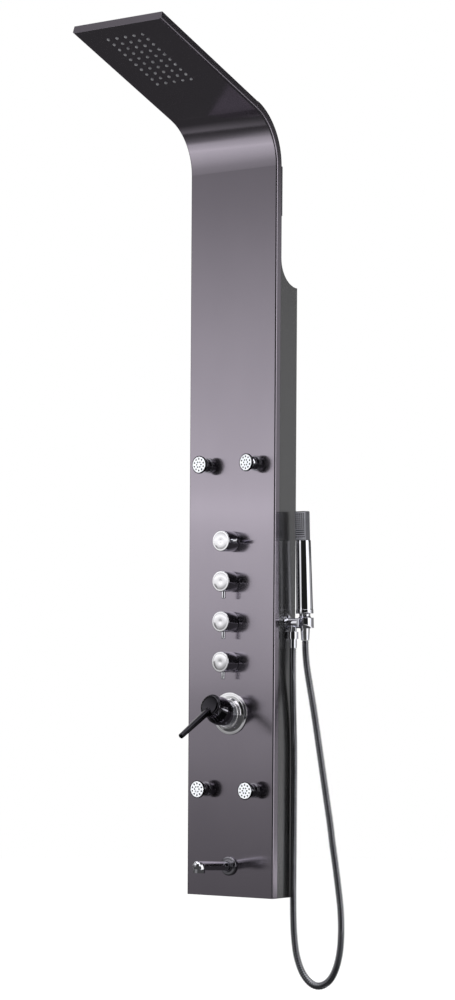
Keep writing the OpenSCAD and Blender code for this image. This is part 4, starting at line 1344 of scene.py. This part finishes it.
@dataclass
class ShowerHose:
    """The spiral-wound metal hose, from the outlet nut round its loop to the hand shower."""

    outer_r: float = 6.9
    groove: float = 1.6
    pitch: float = 4.6
    sides: int = 18
    depths: tuple = (1.0, 1.0, 0.85, 0.0, 0.0, 0.0, 0.85)
    crease: float = 24.0
    knot_steps: int = 24
    follow_way: tuple = (0.9598, 0.2788, -0.0325)
    follow_start: float = 114.1
    follow_end: float = 132.8
    route: tuple = (
        (111, -42, -596), (111, -42, -625), (110, -40, -660), (108, -36, -700),
        (107, -32.5, -740), (106.8, -30.5, -780), (106.8, -30, -820), (106.8, -30, -860),
        (106.8, -30, -900), (106.8, -30, -940), (106.8, -30, -980), (106.8, -30, -1020),
        (107, -30.3, -1060), (108.5, -31.3, -1100), (112, -32.8, -1135), (119, -34, -1169),
        (132, -34, -1198), (150, -33, -1216), (170, -32, -1220), (190, -31, -1209),
        (204, -30, -1186), (212, -29, -1154), (214, -28, -1118), (212, -27, -1080),
        (206, -26, -1040), (199, -25, -1000), (192, -25, -960), (185, -24, -920),
        (177, -23, -880), (169, -22, -840), (161, -21, -800), (153, -20, -760),
        (146, -20, -722), (139, -19, -690), (132, -18, -660), (126, -17.8, -630),
        (123, -18.2, -601), (123, -19.1, -581.2))

    def centreline(self, step: float) -> list[Vector]:
        """Returns even steps along a smooth curve through the route.

        Args:
            step: The steps' length in metres.

        Returns:
            The points, in metres.
        """
        knots = [Vector(p) * MM for p in self.route]
        dense = []
        for i in range(len(knots) - 1):
            a, b = knots[max(i - 1, 0)], knots[i]
            c, d = knots[i + 1], knots[min(i + 2, len(knots) - 1)]
            for k in range(self.knot_steps):
                t = k / self.knot_steps
                dense.append(0.5 * ((2 * b) + (c - a) * t + (2 * a - 5 * b + 4 * c - d) * t * t
                                    + (3 * b - a - 3 * c + d) * t ** 3))
        dense.append(knots[-1])
        points, reach = [dense[0]], 0.0
        for before, after in zip(dense, dense[1:]):
            length = (after - before).length
            while reach + length >= step:
                share = (step - reach) / length
                before = before.lerp(after, share)
                length = (after - before).length
                points.append(before.copy())
                reach = 0.0
            reach += length
        points.append(dense[-1])
        return points

    def build(self, wardrobe: Wardrobe) -> bpy.types.Object:
        """Args:
            wardrobe: What dresses it.

        Returns:
            The hose.
        """
        points = self.centreline(self.pitch * MM / len(self.depths))
        shape = bmesh.new()
        rings, side = [], Vector((0, 1, 0))
        for i, point in enumerate(points):
            heading = (points[min(i + 1, len(points) - 1)] - points[max(i - 1, 0)]).normalized()
            side = (side - heading * side.dot(heading)).normalized()
            other = heading.cross(side)
            radius = (self.outer_r - self.depths[i % len(self.depths)] * self.groove) * MM
            turns = (2 * math.pi * k / self.sides for k in range(self.sides))
            rings.append([
                shape.verts.new(point + side * (radius * math.cos(a)) + other * (radius * math.sin(a)))
                for a in turns])
        # Faces in the hose's grooves wear near-black painted shade.
        for i, (lower, upper) in enumerate(zip(rings, rings[1:])):
            in_groove = self.depths[i % len(self.depths)] + self.depths[(i + 1) % len(self.depths)] > 0
            for face in bridge(shape, lower, upper):
                face.material_index = int(in_groove)
        shape.faces.new(rings[0][::-1])
        shape.faces.new(rings[-1])
        hose = finish_mesh("shower_hose", shape)
        crease_by_angle(hose, self.crease)
        wardrobe.wear(hose, Slot.HOSE_STEEL)
        hose.data.materials.append(wardrobe.tones[Tone.GROOVE])
        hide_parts("hose_tube")
        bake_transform(hose)
        return hose


def main() -> None:
    """Builds the scene."""
    logging.basicConfig(level=logging.INFO, format="%(name)s: %(message)s")
    ViewingCamera().build()
    wardrobe = Wardrobe()
    ShowerHose().build(wardrobe)
    Studio().build()
    wardrobe.dress_nodes()
    assemblies = [BodyJet(jet) for jet in Jet]
    assemblies += [ValveKnob(number) for number in range(1, 5)]
    assemblies += [Mixer(), WallFittings(), SprayHead()]
    for assembly in assemblies:
        assembly.build(wardrobe)
        LOG.info("built: %s", type(assembly).__name__)


if __name__ == "__main__":
    main()
